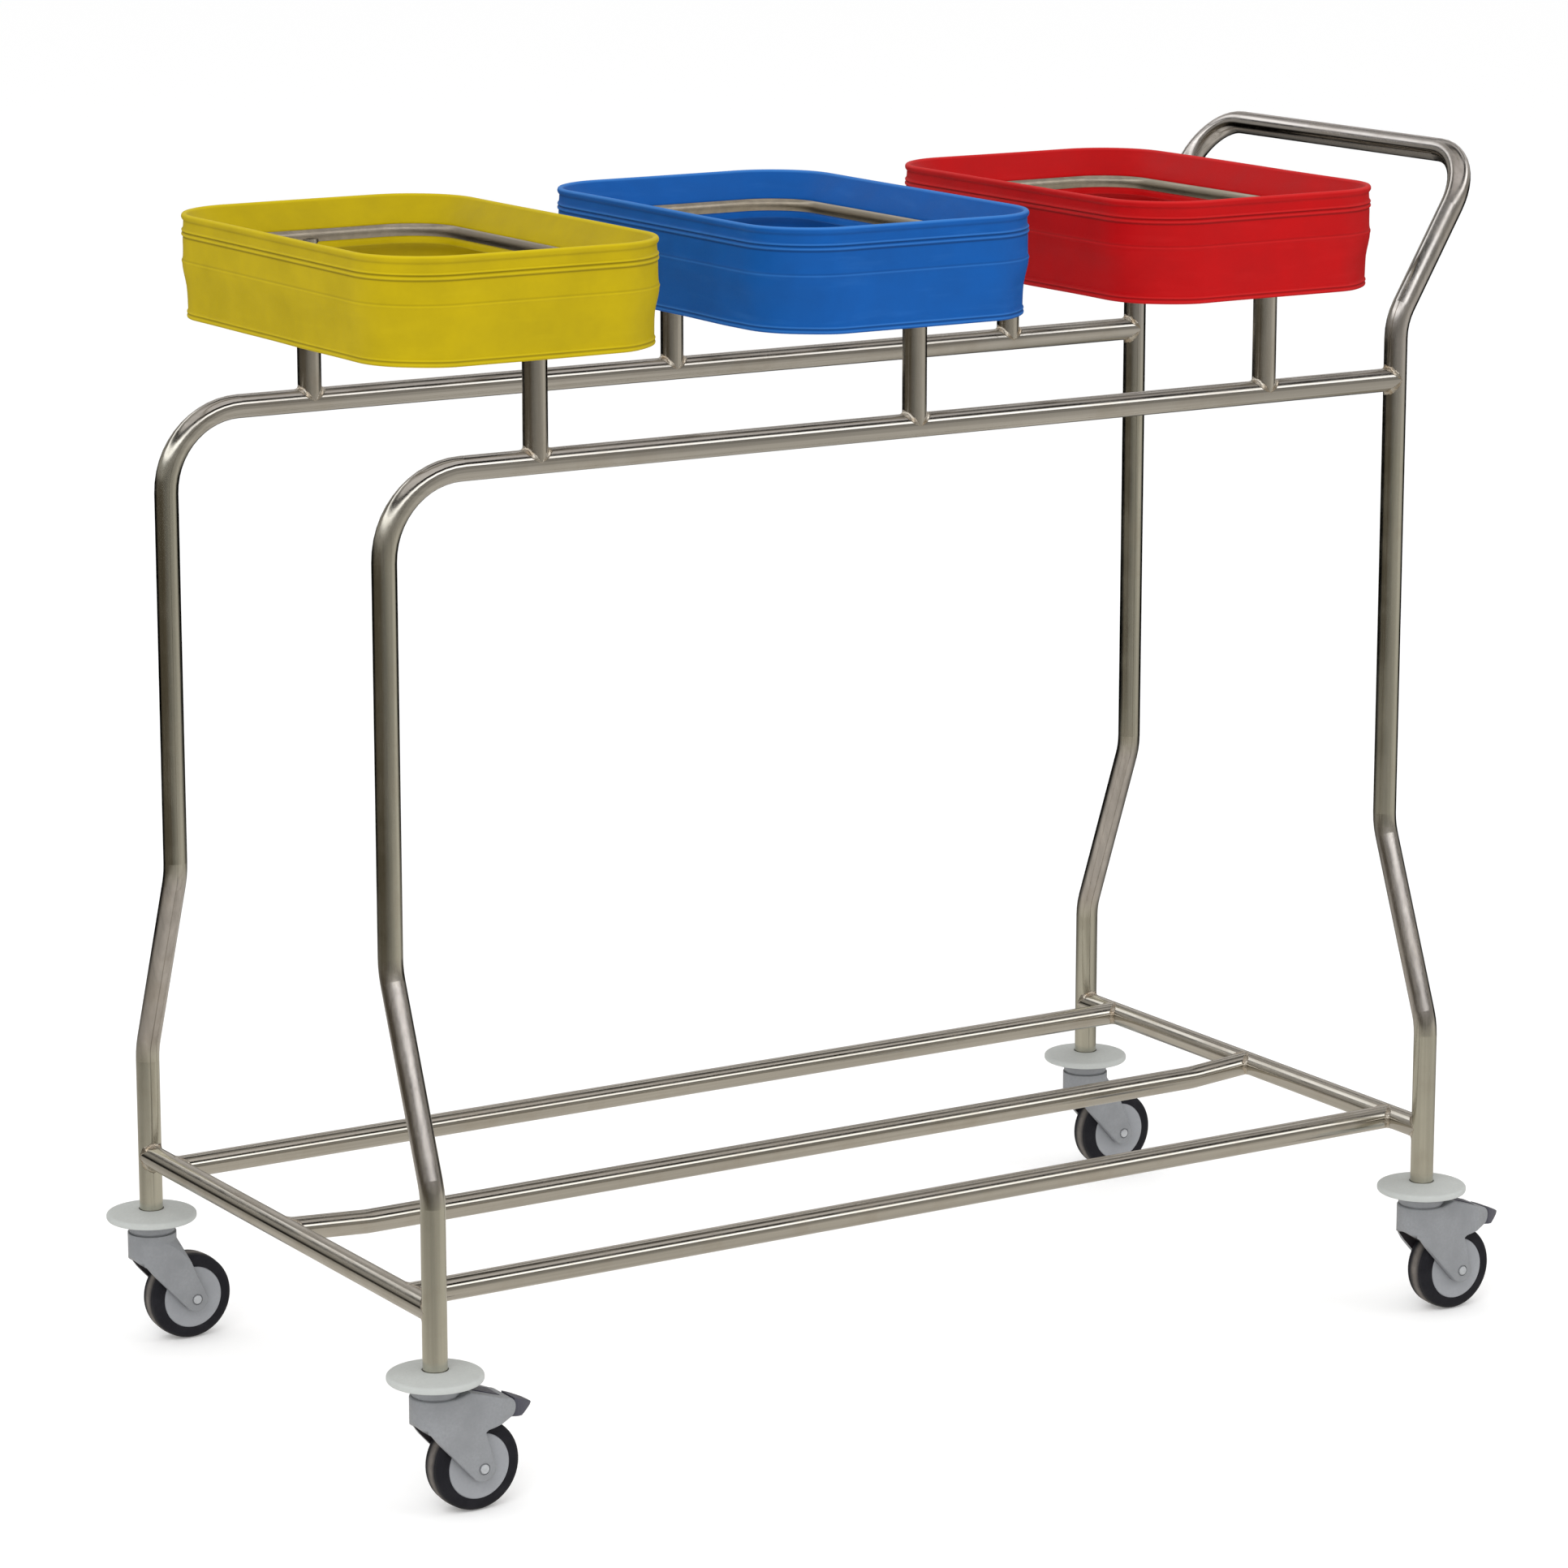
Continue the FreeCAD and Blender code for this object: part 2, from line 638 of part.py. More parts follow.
def fork_cavity(braked):
    """Room for the wheel and, under the shroud, for the brake."""
    hood = between(CAVITY_R, 0, CAVITY_TOP_Z)
    hood = hood.common(box_between((-HOOD_R, -CHEEK_IN, 0), (HOOD_R, CHEEK_IN, CAVITY_TOP_Z)))
    far_x = SHROUD_END_X + SHROUD_END_ROOM
    if not braked:
        return hood.fuse(box_between((0, -CHEEK_IN, 0), (far_x, CHEEK_IN, CAVITY_REAR_Z)))
    rear = plate([
        (0, 0),
        (0, CAVITY_TOP_Z),
        (BRAKE_ROOM_X, CAVITY_TOP_Z),
        (DECK_START_X, DECK_START_Z - DECK_THICK),
        (far_x, deck_z(far_x) - DECK_THICK),
        (far_x, 0),
    ], CHEEK_IN)
    outline = [(0, -CHEEK_IN), (WINDOW_END_X, -CHEEK_IN), (far_x, -SHROUD_NARROW_IN)]
    rear = rear.common(plan(mirrored(outline), 0, NECK_TOP_Z))
    window = box_between((WINDOW_START_X, -WINDOW_HALF_Y, CAVITY_REAR_Z),
                         (WINDOW_END_X, WINDOW_HALF_Y, NECK_TOP_Z))
    return hood.fuse(rear).fuse(window)


def axle_bosses():
    wheel_centre = Vector(TRAIL, 0, AXLE_Z)
    bosses = rod(wheel_centre, Y_AXIS, BOSS_R, CHEEK_IN + OVERCUT)
    return bosses.cut(rod(wheel_centre, Y_AXIS, BOSS_R + OVERCUT, BOSS_END_Y))


def fork_holes(braked):
    wheel_centre = Vector(TRAIL, 0, AXLE_Z)
    holes = [
        between(BEARING_POCKET_R, BEARING_BOTTOM_Z, NECK_TOP_Z + OVERCUT),
        between(STEM_R + SOFT_GAP, 0, NECK_TOP_Z),
        rod(wheel_centre, Y_AXIS, AXLE_R + SEAT_GAP, 2 * HOOD_R),
    ]
    for side in (-1, 1):
        face = wheel_centre + Y_AXIS * (side * HOOD_R)
        holes.append(rod(face, Y_AXIS, AXLE_RECESS_R, AXLE_RECESS))
    if braked:
        pivot = Vector(PEDAL_PIVOT_X, 0, PEDAL_PIVOT_Z)
        holes.append(rod(pivot, Y_AXIS, PEDAL_PIN_R + SEAT_GAP, PEDAL_PIN_END_Y + SOFT_GAP))
    return Part.makeCompound(holes)


def make_thread_guard():
    """Closes the fork's front between the cheeks, just clear of the tyre."""
    rise = math.sqrt(GUARD_CLEARANCE_R ** 2 - (TRAIL - GUARD_INNER_X) ** 2)
    outline = [GUARD_LOW] + GUARD_FRONT
    outline += [(GUARD_INNER_X, GUARD_INNER_TOP_Z), (GUARD_INNER_X, AXLE_Z + rise)]
    guard = plate(outline, CHEEK_IN).common(between(CAVITY_R - SEAT_GAP, 0, NECK_TOP_Z))
    return one_solid(guard.cut(rod(Vector(TRAIL, 0, AXLE_Z), Y_AXIS, GUARD_CLEARANCE_R, HOOD_R)))


def make_axle():
    """A riveted axle with slightly domed ends."""
    points = [(0, -AXLE_END_Y), (AXLE_R - AXLE_DOME, -AXLE_END_Y), (AXLE_R, -AXLE_END_Y + AXLE_DOME)]
    points += [(r, -h) for r, h in points[::-1]]
    return turned(points, Vector(TRAIL, 0, AXLE_Z), Y_AXIS, X_AXIS)


# ---------------------------------------------------------------- brakes

def pedal_plan():
    """The top view of the pedal: parallel sides that close to a blunt point."""
    half = PEDAL_HALF_Y
    nose_x = PEDAL_TIP[0] - PEDAL_NOSE_BACK

    def flank(side):
        waist = Vector(PEDAL_WAIST_X, side * half, 0)
        bow = Vector(PEDAL_SIDE[0], side * PEDAL_SIDE[1], 0)
        nose = Vector(nose_x, side * PEDAL_NOSE_HALF_Y, 0)
        return [line(Vector(0, side * half, 0), waist), arc(waist, bow, nose)]

    edges = [line(Vector(0, half, 0), Vector(0, -half, 0))] + flank(-1)
    edges.append(arc(Vector(nose_x, -PEDAL_NOSE_HALF_Y, 0), Vector(PEDAL_TIP[0], 0, 0),
                     Vector(nose_x, PEDAL_NOSE_HALF_Y, 0)))
    edges += flank(1)[::-1]
    return Part.Face(Part.Wire(edges)).extrude(Vector(0, 0, NECK_TOP_Z))


def bar_top(x):
    return deck_z(x) - DECK_THICK - PEDAL_GAP


def make_brake_pedal():
    """A lever under the shroud, with a pad in its window and a tip behind it."""
    start = PEDAL_PIVOT_X - PEDAL_ROOT
    outline = [(start, bar_top(start) - PEDAL_BAR_HEIGHT), (start, bar_top(start))]
    outline.append((PEDAL_TIP_START_X, bar_top(PEDAL_TIP_START_X)))
    outline.append((PEDAL_TIP_START_X, deck_z(PEDAL_TIP_START_X)))
    outline += PEDAL_TIP_TOP + [PEDAL_TIP] + PEDAL_TIP_UNDER
    outline.append((PEDAL_BAR_END_X, bar_top(PEDAL_BAR_END_X) - PEDAL_BAR_HEIGHT))
    lever = plate(outline, PEDAL_HALF_Y).common(pedal_plan())
    pad_start = WINDOW_START_X + PEDAL_GAP
    pad_end = WINDOW_END_X - 2 * PEDAL_GAP
    pad = plate([
        (pad_start, bar_top(pad_start) - PEDAL_ROOT),
        (pad_start, deck_z(pad_start) + PEDAL_PAD_RISE),
        (pad_end, deck_z(pad_end) + PEDAL_PAD_RISE / 2),
        (pad_end, bar_top(pad_end) - PEDAL_ROOT),
    ], WINDOW_HALF_Y - PEDAL_GAP)
    pivot = Vector(PEDAL_PIVOT_X, 0, PEDAL_PIVOT_Z)
    hub = rod(pivot, Y_AXIS, PEDAL_HUB_R, PEDAL_HALF_Y)
    pin = rod(pivot, Y_AXIS, PEDAL_PIN_R, PEDAL_PIN_END_Y)
    return one_solid(lever.fuse(pad).fuse(hub).fuse(pin).removeSplitter())


def make_brake_shoe():
    """A pad under the lever. Its face fits the tyre when the pedal is down."""
    shoe = plate([
        (SHOE_START_X, bar_top(SHOE_START_X) - PEDAL_BAR_HEIGHT),
        (SHOE_END_X, bar_top(SHOE_END_X) - PEDAL_BAR_HEIGHT),
        (SHOE_END_X, SHOE_LOW_Z),
        (SHOE_START_X, SHOE_LOW_Z),
    ], SHOE_HALF_Y)
    tyre = rod(Vector(TRAIL, 0, AXLE_Z), Y_AXIS, WHEEL_R + LOCKED_GAP, HOOD_R)
    tyre.rotate(Vector(PEDAL_PIVOT_X, 0, PEDAL_PIVOT_Z), Y_AXIS, -PEDAL_TRAVEL)
    return one_solid(shoe.cut(tyre))


# ---------------------------------------------------------------- wheels

def make_hub():
    inner = HUB_HALF_Y - WHEEL_BEARING_WIDTH
    half = [
        (HUB_BORE_R, 0),
        (HUB_BORE_R, inner),
        (WHEEL_BEARING_OUT_R, inner),
        (WHEEL_BEARING_OUT_R, HUB_HALF_Y),
        (HUB_R - HUB_EDGE_ROUND, HUB_HALF_Y),
        (HUB_R, HUB_HALF_Y - HUB_EDGE_ROUND),
    ]
    points = half + [(r, -h) for r, h in half[:0:-1]]
    return turned(points, Vector(TRAIL, 0, AXLE_Z), Y_AXIS, X_AXIS)


def make_tyre():
    """A rubber tyre with a gently crowned tread and round shoulders."""
    seat = HUB_R + TYRE_SEAT_GAP

    def at(radius, y):
        return Vector(TRAIL + radius, y, AXLE_Z)

    edges = [
        line(at(seat, -TYRE_HALF_Y), at(SHOULDER_R, -TYRE_HALF_Y)),
        arc(at(SHOULDER_R, -TYRE_HALF_Y), at(SHOULDER_MID_R, -SHOULDER_MID_Y),
            at(TREAD_EDGE_R, -TREAD_HALF_Y)),
        arc(at(TREAD_EDGE_R, -TREAD_HALF_Y), at(WHEEL_R, 0), at(TREAD_EDGE_R, TREAD_HALF_Y)),
        arc(at(TREAD_EDGE_R, TREAD_HALF_Y), at(SHOULDER_MID_R, SHOULDER_MID_Y),
            at(SHOULDER_R, TYRE_HALF_Y)),
        line(at(SHOULDER_R, TYRE_HALF_Y), at(seat, TYRE_HALF_Y)),
        line(at(seat, TYRE_HALF_Y), at(seat, -TYRE_HALF_Y)),
    ]
    return Part.Face(Part.Wire(edges)).revolve(Vector(TRAIL, 0, AXLE_Z), Y_AXIS, 360)


def make_wheel_bearings():
    """A shielded ball bearing in each face of the hub: inner ring, outer ring and shield."""
    pieces = []
    centre = Vector(TRAIL, 0, AXLE_Z)
    for side in (-1, 1):
        middle = centre + Y_AXIS * (side * (HUB_HALF_Y - WHEEL_BEARING_WIDTH / 2))
        half = WHEEL_BEARING_WIDTH / 2
        inner = rod(middle, Y_AXIS, WHEEL_RING_IN_R, half)
        pieces.append(inner.cut(rod(middle, Y_AXIS, AXLE_R + SEAT_GAP, half + OVERCUT)))
        outer = rod(middle, Y_AXIS, WHEEL_BEARING_OUT_R - SEAT_GAP, half)
        pieces.append(outer.cut(rod(middle, Y_AXIS, WHEEL_RING_OUT_R, half + OVERCUT)))
        shield_middle = middle + Y_AXIS * (side * (half - SHIELD_INSET - SHIELD_THICK / 2))
        shield = rod(shield_middle, Y_AXIS, WHEEL_RING_OUT_R, SHIELD_THICK / 2)
        pieces.append(shield.cut(rod(shield_middle, Y_AXIS, WHEEL_RING_IN_R, SHIELD_THICK)))
    return Part.makeCompound(pieces)


# ---------------------------------------------------------------- assembly

def save_frame():
    for name, side in SIDES.items():
        save("side_tube_" + name, make_side_tube(side))
        save("base_rail_" + name, make_base_rail(side * BASE_RAIL_Y))
    save("handle_tube", make_handle_tube())
    save("base_cross_front", make_base_cross(FRONT_X))
    save("base_cross_rear", make_base_cross(REAR_X))
    save("base_rail_middle", make_middle_rail())


def save_stations():
    for station, index in STATIONS.items():
        for name, side in SIDES.items():
            save("post_%s_%s" % (station, name), make_post(index, side))
        save("hoop_" + station, make_hoop(index))
        save("rubber_ring_" + RING_COLOURS[station], make_rubber_ring(index))


def caster_shapes(braked):
    shapes = {
        "bumper_disc": make_bumper_disc(),
        "stem": make_stem(),
        "swivel_bearing": make_swivel_bearing(),
        "fork": make_fork(braked),
        "thread_guard": make_thread_guard(),
        "axle": make_axle(),
        "hub": make_hub(),
        "tyre": make_tyre(),
        "wheel_bearings": make_wheel_bearings(),
    }
    if braked:
        shapes["brake_pedal"] = make_brake_pedal()
        shapes["brake_shoe"] = make_brake_shoe()
    return shapes


def save_casters():
    kinds = {braked: caster_shapes(braked) for braked in (False, True)}
    for name, (x, y, braked) in CASTERS.items():
        for piece, shape in kinds[braked].items():
            placed = shape.copy()
            placed.translate(Vector(x, y, 0))
            save("%s_%s" % (piece, name), placed)


os.makedirs("parts", exist_ok=True)
save_frame()
save_stations()
save_casters()
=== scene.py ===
import math
from functools import partial

import bmesh
import bpy
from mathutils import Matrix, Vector, noise


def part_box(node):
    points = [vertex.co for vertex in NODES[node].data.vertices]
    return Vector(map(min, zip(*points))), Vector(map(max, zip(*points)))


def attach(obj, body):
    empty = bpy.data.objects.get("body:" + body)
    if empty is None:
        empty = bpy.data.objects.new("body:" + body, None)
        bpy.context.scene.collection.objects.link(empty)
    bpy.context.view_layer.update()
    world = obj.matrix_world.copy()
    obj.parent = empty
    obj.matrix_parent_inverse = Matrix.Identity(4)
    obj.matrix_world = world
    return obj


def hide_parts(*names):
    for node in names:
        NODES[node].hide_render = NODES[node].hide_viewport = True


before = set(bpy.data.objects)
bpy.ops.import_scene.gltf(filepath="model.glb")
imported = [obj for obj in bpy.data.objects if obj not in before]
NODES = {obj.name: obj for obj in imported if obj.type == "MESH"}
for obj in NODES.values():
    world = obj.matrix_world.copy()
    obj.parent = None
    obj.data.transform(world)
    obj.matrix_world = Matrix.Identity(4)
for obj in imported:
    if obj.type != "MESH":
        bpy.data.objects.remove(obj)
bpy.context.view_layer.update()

# Laundry sorter on wheels. Metres, in the shared frame: +X towards the push handle, -Y is the braked side.

STATIONS = {"front": "yellow", "middle": "blue", "rear": "red"}
SIDES = {"left": -1, "right": 1}
CASTERS = ("front_left", "front_right", "rear_left", "rear_right")
X, Y, Z = 0, 1, 2
TUBE_R = 0.01065
BLACK = (0.0, 0.0, 0.0, 1.0)


def middle(node, axis):
    """The middle of a node's box along an axis."""
    low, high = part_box(node)
    return (low[axis] + high[axis]) / 2


def top(node):
    """The height of a node's box over the floor."""
    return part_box(node)[1][Z]


# ---------------------------------------------------------------- colours and node graphs

# Most of a noise texture's values lie between these.
NOISE_LOW = 0.3
NOISE_HIGH = 0.7


def srgb(r, g, b, alpha=1.0):
    """An 8-bit display colour as the linear colour that shaders take."""
    def linear(c):
        c /= 255.0
        return c / 12.92 if c <= 0.04045 else ((c + 0.055) / 1.055) ** 2.4
    return (linear(r), linear(g), linear(b), alpha)


def shaded(colour, factor):
    """A display colour as a shader's colour, made lighter or darker by a factor."""
    return tuple(min(1.0, factor * c) for c in srgb(*colour)[:3]) + (1.0,)


class Graph:
    """Short names for building a material's nodes."""

    def __init__(self, name):
        self.material = bpy.data.materials.new(name)
        self.material.use_nodes = True
        self.nodes = self.material.node_tree.nodes
        self.shader = self.nodes["Principled BSDF"]
        self.output = self.nodes["Material Output"]
        self.coords = self.node("ShaderNodeTexCoord").outputs["Object"]

    def node(self, kind, inputs=None, **settings):
        made = self.nodes.new(kind)
        for key, value in settings.items():
            setattr(made, key, value)
        for key, value in (inputs or {}).items():
            self.set(made.inputs[key], value)
        return made

    def set(self, socket, value):
        """Links a socket to another, or gives it a plain value."""
        if isinstance(value, bpy.types.NodeSocket):
            self.material.node_tree.links.new(value, socket)
        else:
            socket.default_value = value

    def shade(self, **inputs):
        """Sets inputs of the surface shader. An underscore in a name stands for a space."""
        for key, value in inputs.items():
            self.set(self.shader.inputs[key.replace("_", " ")], value)

    def stretched(self, scale):
        return self.node("ShaderNodeMapping", {"Vector": self.coords, "Scale": scale}).outputs["Vector"]

    def noise(self, vector, scale, detail=3.0, roughness=0.55):
        inputs = {"Vector": vector, "Scale": scale, "Detail": detail, "Roughness": roughness}
        return self.node("ShaderNodeTexNoise", inputs).outputs["Fac"]

    def math(self, operation, a, b=0.0):
        return self.node("ShaderNodeMath", {0: a, 1: b}, operation=operation).outputs[0]

    def span(self, value, low, high, to_low=0.0, to_high=1.0):
        """value from low..high to to_low..to_high, held at the ends."""
        inputs = {"Value": value, "From Min": low, "From Max": high, "To Min": to_low, "To Max": to_high}
        return self.node("ShaderNodeMapRange", inputs).outputs["Result"]

    def spread(self, value, to_low=0.0, to_high=1.0):
        """A noise value from its usual range to to_low..to_high."""
        return self.span(value, NOISE_LOW, NOISE_HIGH, to_low, to_high)

    def mix(self, factor, a, b):
        """Colour a to colour b as factor goes from 0 to 1."""
        made = self.node("ShaderNodeMix", data_type="RGBA")
        self.set(made.inputs[0], factor)
        self.set(made.inputs[6], a)
        self.set(made.inputs[7], b)
        return made.outputs[2]

    def blend(self, factor, a, b):
        """a to b as factor goes from 0 to 1, for plain numbers."""
        return self.node("ShaderNodeMix", {0: factor, 2: a, 3: b}, data_type="FLOAT").outputs[0]

    def bump(self, height, strength, distance, normal=None):
        inputs = {"Height": height, "Strength": strength, "Distance": distance}
        if normal is not None:
            inputs["Normal"] = normal
        return self.node("ShaderNodeBump", inputs).outputs["Normal"]

    def xyz(self, vector=None):
        """The parts of a vector, or of the place in the object's own axes."""
        place = self.coords if vector is None else vector
        return self.node("ShaderNodeSeparateXYZ", {"Vector": place}).outputs

    def vector(self, **parts):
        """A vector from its X, Y and Z parts."""
        return self.node("ShaderNodeCombineXYZ", parts).outputs[0]

    def facing(self):
        """The parts of the surface's own direction, in the object's own axes."""
        return self.xyz(self.node("ShaderNodeTexCoord").outputs["Normal"])


# ---------------------------------------------------------------- steel

STEEL_TINT = (207, 202, 192)
LEG_TINT = (208, 205, 190)
SLOPE_TINT = (204, 198, 193)
UPPER_TINT = (206, 201, 197)
HOOP_TINT = (188, 178, 162)
SMUDGE = (170, 156, 134)

# Heights where a bent tube's colour changes: at the ends of its sloped part, and gradually towards the top.
SLOPE_LOW_Z = 0.279
SLOPE_HIGH_Z = 0.456
UPPER_FROM_Z = 0.80
UPPER_TO_Z = 0.90

# Half the height over which a bend changes a tube's colour or the run of its marks.
CHANGE = 0.012

# Where the bent tubes turn, for the run of their marks and reflections.
FRONT_BEND_R = 0.072
TOP_RAIL_TURN = 0.05
HANDLE_KICK_Z = 0.9255
HANDLE_KICK_HALF = 0.02
HANDLE_LEAN = 0.6
HANDLE_CORNER = 0.043
HANDLE_TURN = 0.04
MIDDLE_HALF = 0.001

# Scale across and along the tube of the marks that a polishing belt leaves.
FINE_STREAKS = (900.0, 7.0)
BROAD_STREAKS = (150.0, 2.5)
STREAK_SHADE = 0.22
SMUDGE_AMOUNT = 0.3

# Roughness where the steel is clean and where it is smudged, and what fine marks and the hoops' finish add.
CLEAN = 0.1
SMUDGED = 0.19
FINE_ROUGHNESS = 0.05
HOOP_DULLNESS = 0.24

# How much further reflections spread along a tube than across it.
SMEAR = 0.92


def streaks(g, along, scales):
    """Noise drawn out along an axis."""
    across_scale, along_scale = scales
    scale = [across_scale] * 3
    scale[along] = along_scale
    return g.noise(g.stretched(scale), 1.0)


def straight(g, along):
    """The direction of a straight tube."""
    return g.vector(**{"XYZ"[along]: 1.0})


def front_bend(g):
    """The direction of a side tube: up the leg, round the front bend and along the top rail."""
    crown = top("side_tube_left") - TUBE_R
    across = g.span(g.xyz()["Z"], crown - FRONT_BEND_R, crown)
    up = g.math("SQRT", g.math("SUBTRACT", 1.0, g.math("MULTIPLY", across, across)))
    return g.vector(X=across, Z=up)


def handle_bends(g):
    """The direction of the handle tube: up each leg, back at the kick and across the handle bar."""
    crown = top("handle_tube") - TUBE_R
    place = g.xyz()
    kick_low, kick_high = HANDLE_KICK_Z - HANDLE_KICK_HALF, HANDLE_KICK_Z + HANDLE_KICK_HALF
    back = g.span(place["Z"], kick_low, kick_high, 0.0, HANDLE_LEAN)
    over = g.span(place["Z"], crown - HANDLE_CORNER, crown)
    up = g.math("SUBTRACT", 1.0, over)
    side = g.span(place["Y"], -MIDDLE_HALF, MIDDLE_HALF, 1.0, -1.0)
    return g.vector(X=g.math("MULTIPLY", back, up), Y=g.math("MULTIPLY", over, side), Z=up)


def bent_tube_tint(g, tint):
    """A bent tube's colour, which the studio makes cooler where it slopes and higher up."""
    height = g.xyz()["Z"]
    tint = g.mix(g.span(height, UPPER_FROM_Z, UPPER_TO_Z), srgb(*tint), srgb(*UPPER_TINT))
    above_low = g.span(height, SLOPE_LOW_Z - CHANGE, SLOPE_LOW_Z + CHANGE)
    below_high = g.span(height, SLOPE_HIGH_Z - CHANGE, SLOPE_HIGH_Z + CHANGE, 1.0, 0.0)
    return g.mix(g.math("MULTIPLY", above_low, below_high), tint, srgb(*SLOPE_TINT))


def steel(name, along, tint=STEEL_TINT, direction=None, turn=None, dull=0.0):
    """Satin stainless tube, polished round and round, so that reflections spread along it.

    along is X, Y or Z. direction builds the tube's direction, and without it reflections spread evenly.
    turn=(height, axis) is for a tube that runs along another axis above a height. dull adds roughness.
    """
    g = Graph(name)
    fine = streaks(g, along, FINE_STREAKS)
    broad = streaks(g, along, BROAD_STREAKS)
    base = srgb(*tint)
    if turn:
        height, axis = turn
        above = g.span(g.xyz()["Z"], height - CHANGE, height + CHANGE)
        fine = g.blend(above, fine, streaks(g, axis, FINE_STREAKS))
        broad = g.blend(above, broad, streaks(g, axis, BROAD_STREAKS))
        base = bent_tube_tint(g, tint)
    smudges = g.noise(g.coords, 17.0, 5.0, 0.62)
    colour = g.mix(g.spread(broad, STREAK_SHADE, 0.0), base, BLACK)
    colour = g.mix(g.span(smudges, 0.5, 0.76, 0.0, SMUDGE_AMOUNT), colour, srgb(*SMUDGE))
    marked = g.spread(fine, dull, dull + FINE_ROUGHNESS)
    rough = g.math("ADD", marked, g.span(smudges, 0.4, NOISE_HIGH, CLEAN, SMUDGED))
    g.shade(Base_Color=colour, Metallic=1.0, Roughness=rough)
    if direction:
        g.shade(Anisotropic=SMEAR, Tangent=direction(g))
    normal = g.bump(fine, 0.05, 0.00005)
    g.shade(Normal=g.bump(broad, 0.08, 0.0002, normal))
    return g.material


def weld_steel():
    """Ground weld: rougher than the tube, with a little heat tint."""
    g = Graph("ground weld")
    marks = g.noise(g.coords, 750.0, 3.0, 0.65)
    heat = g.noise(g.coords, 150.0, 3.0, 0.5)
    colour = g.mix(g.span(heat, 0.4, NOISE_HIGH), srgb(205, 198, 186), srgb(172, 154, 130))
    g.shade(Base_Color=colour, Metallic=1.0, Roughness=g.spread(marks, 0.22, 0.34))
    g.shade(Normal=g.bump(marks, 0.2, 0.0001))
    return g.material


def bright_metal(name, colour, rough, metallic=1.0):
    """Turned or plated steel with fine tool marks and a little tarnish."""
    g = Graph(name)
    marks = g.noise(g.coords, 500.0, 3.0, 0.6)
    tarnish = g.noise(g.coords, 120.0, 4.0, 0.6)
    mixed = g.mix(g.span(tarnish, 0.4, 0.75), srgb(*colour), shaded(colour, 0.75))
    g.shade(Base_Color=mixed, Metallic=metallic, Roughness=g.spread(marks, rough - 0.06, rough + 0.08))
    g.shade(Normal=g.bump(marks, 0.2, 0.0001))
    return g.material


# ---------------------------------------------------------------- rubber and plastic

# (depth under a ring's top, strength) of the painted shade in its creases, and of the painted highlights on
# the beads between them.
SHADED_CREASES = ((0.0064, 0.25), (0.0163, 0.7), (0.0206, 0.75), (0.0402, 0.3), (0.0875, 0.6))
BEAD_HIGHLIGHTS = ((0.0146, 0.4), (0.0185, 0.4), (0.0415, 0.25), (0.0861, 0.4), (0.0895, 0.4))
CREASE_HALF = 0.0013
BEAD_HALF = 0.0011
CREASE_SHADE = 0.4
LINE_CORE = 0.0001
# The painted highlight along the top of a ring's rim: the depths under the top where it begins and where it
# is full, and its strength.
RIM_FROM = 0.0026
RIM_TO = 0.0008
RIM_HIGHLIGHT = 0.7
RUBBER_SHEEN = 0.14
CLOUD_SHADE = 0.86
STREAK_AMOUNT = 0.12

# How far out of a ring's middle its surface has to face to count wholly as its outer face, in metres.
OUTWARD = 0.02

# The middle planes of the casters, and the room between a fork's cheeks, which is darkened with painted
# shade.
CASTER_Y = abs(middle("tyre_front_left", Y))
CHEEK_INSIDE = 0.0155
CHEEK_EDGE = 0.0004
CHEEK_TOP = 0.081
CHEEK_FADE = 0.004
# The colour and strength of the painted shade between a fork's cheeks.
CHEEK_SHADE_COLOUR = (30, 22, 26)
CHEEK_SHADE_AMOUNT = 0.92

DARK_TYRE = (24, 24, 30)
DUSTY_TYRE = (48, 47, 52)
DUST = (116, 110, 104)
DUST_FULL = 0.0015
DUST_GONE = 0.0065
TYRE_SHEEN = 0.2


def level_lines(g, colour, outer, crown, drops, half, tone):
    """Level lines at depths under a ring's top: painted shade in its creases, or painted highlights on its
    beads.
    """
    height = g.xyz()["Z"]
    for drop, strength in drops:
        off = g.math("ABSOLUTE", g.math("SUBTRACT", height, crown - drop))
        shade = g.span(off, LINE_CORE, half, strength, 0.0)
        colour = g.mix(g.math("MULTIPLY", outer, shade), colour, tone)
    return colour


def outside(g, centre_x):
    """1 on the outer face of a ring round the given centre, 0 on its inner face."""
    place = g.xyz()
    facing = g.facing()
    along_x = g.math("MULTIPLY", facing["X"], g.math("SUBTRACT", place["X"], centre_x))
    along_y = g.math("MULTIPLY", facing["Y"], place["Y"])
    return g.span(g.math("ADD", along_x, along_y), 0.0, OUTWARD)


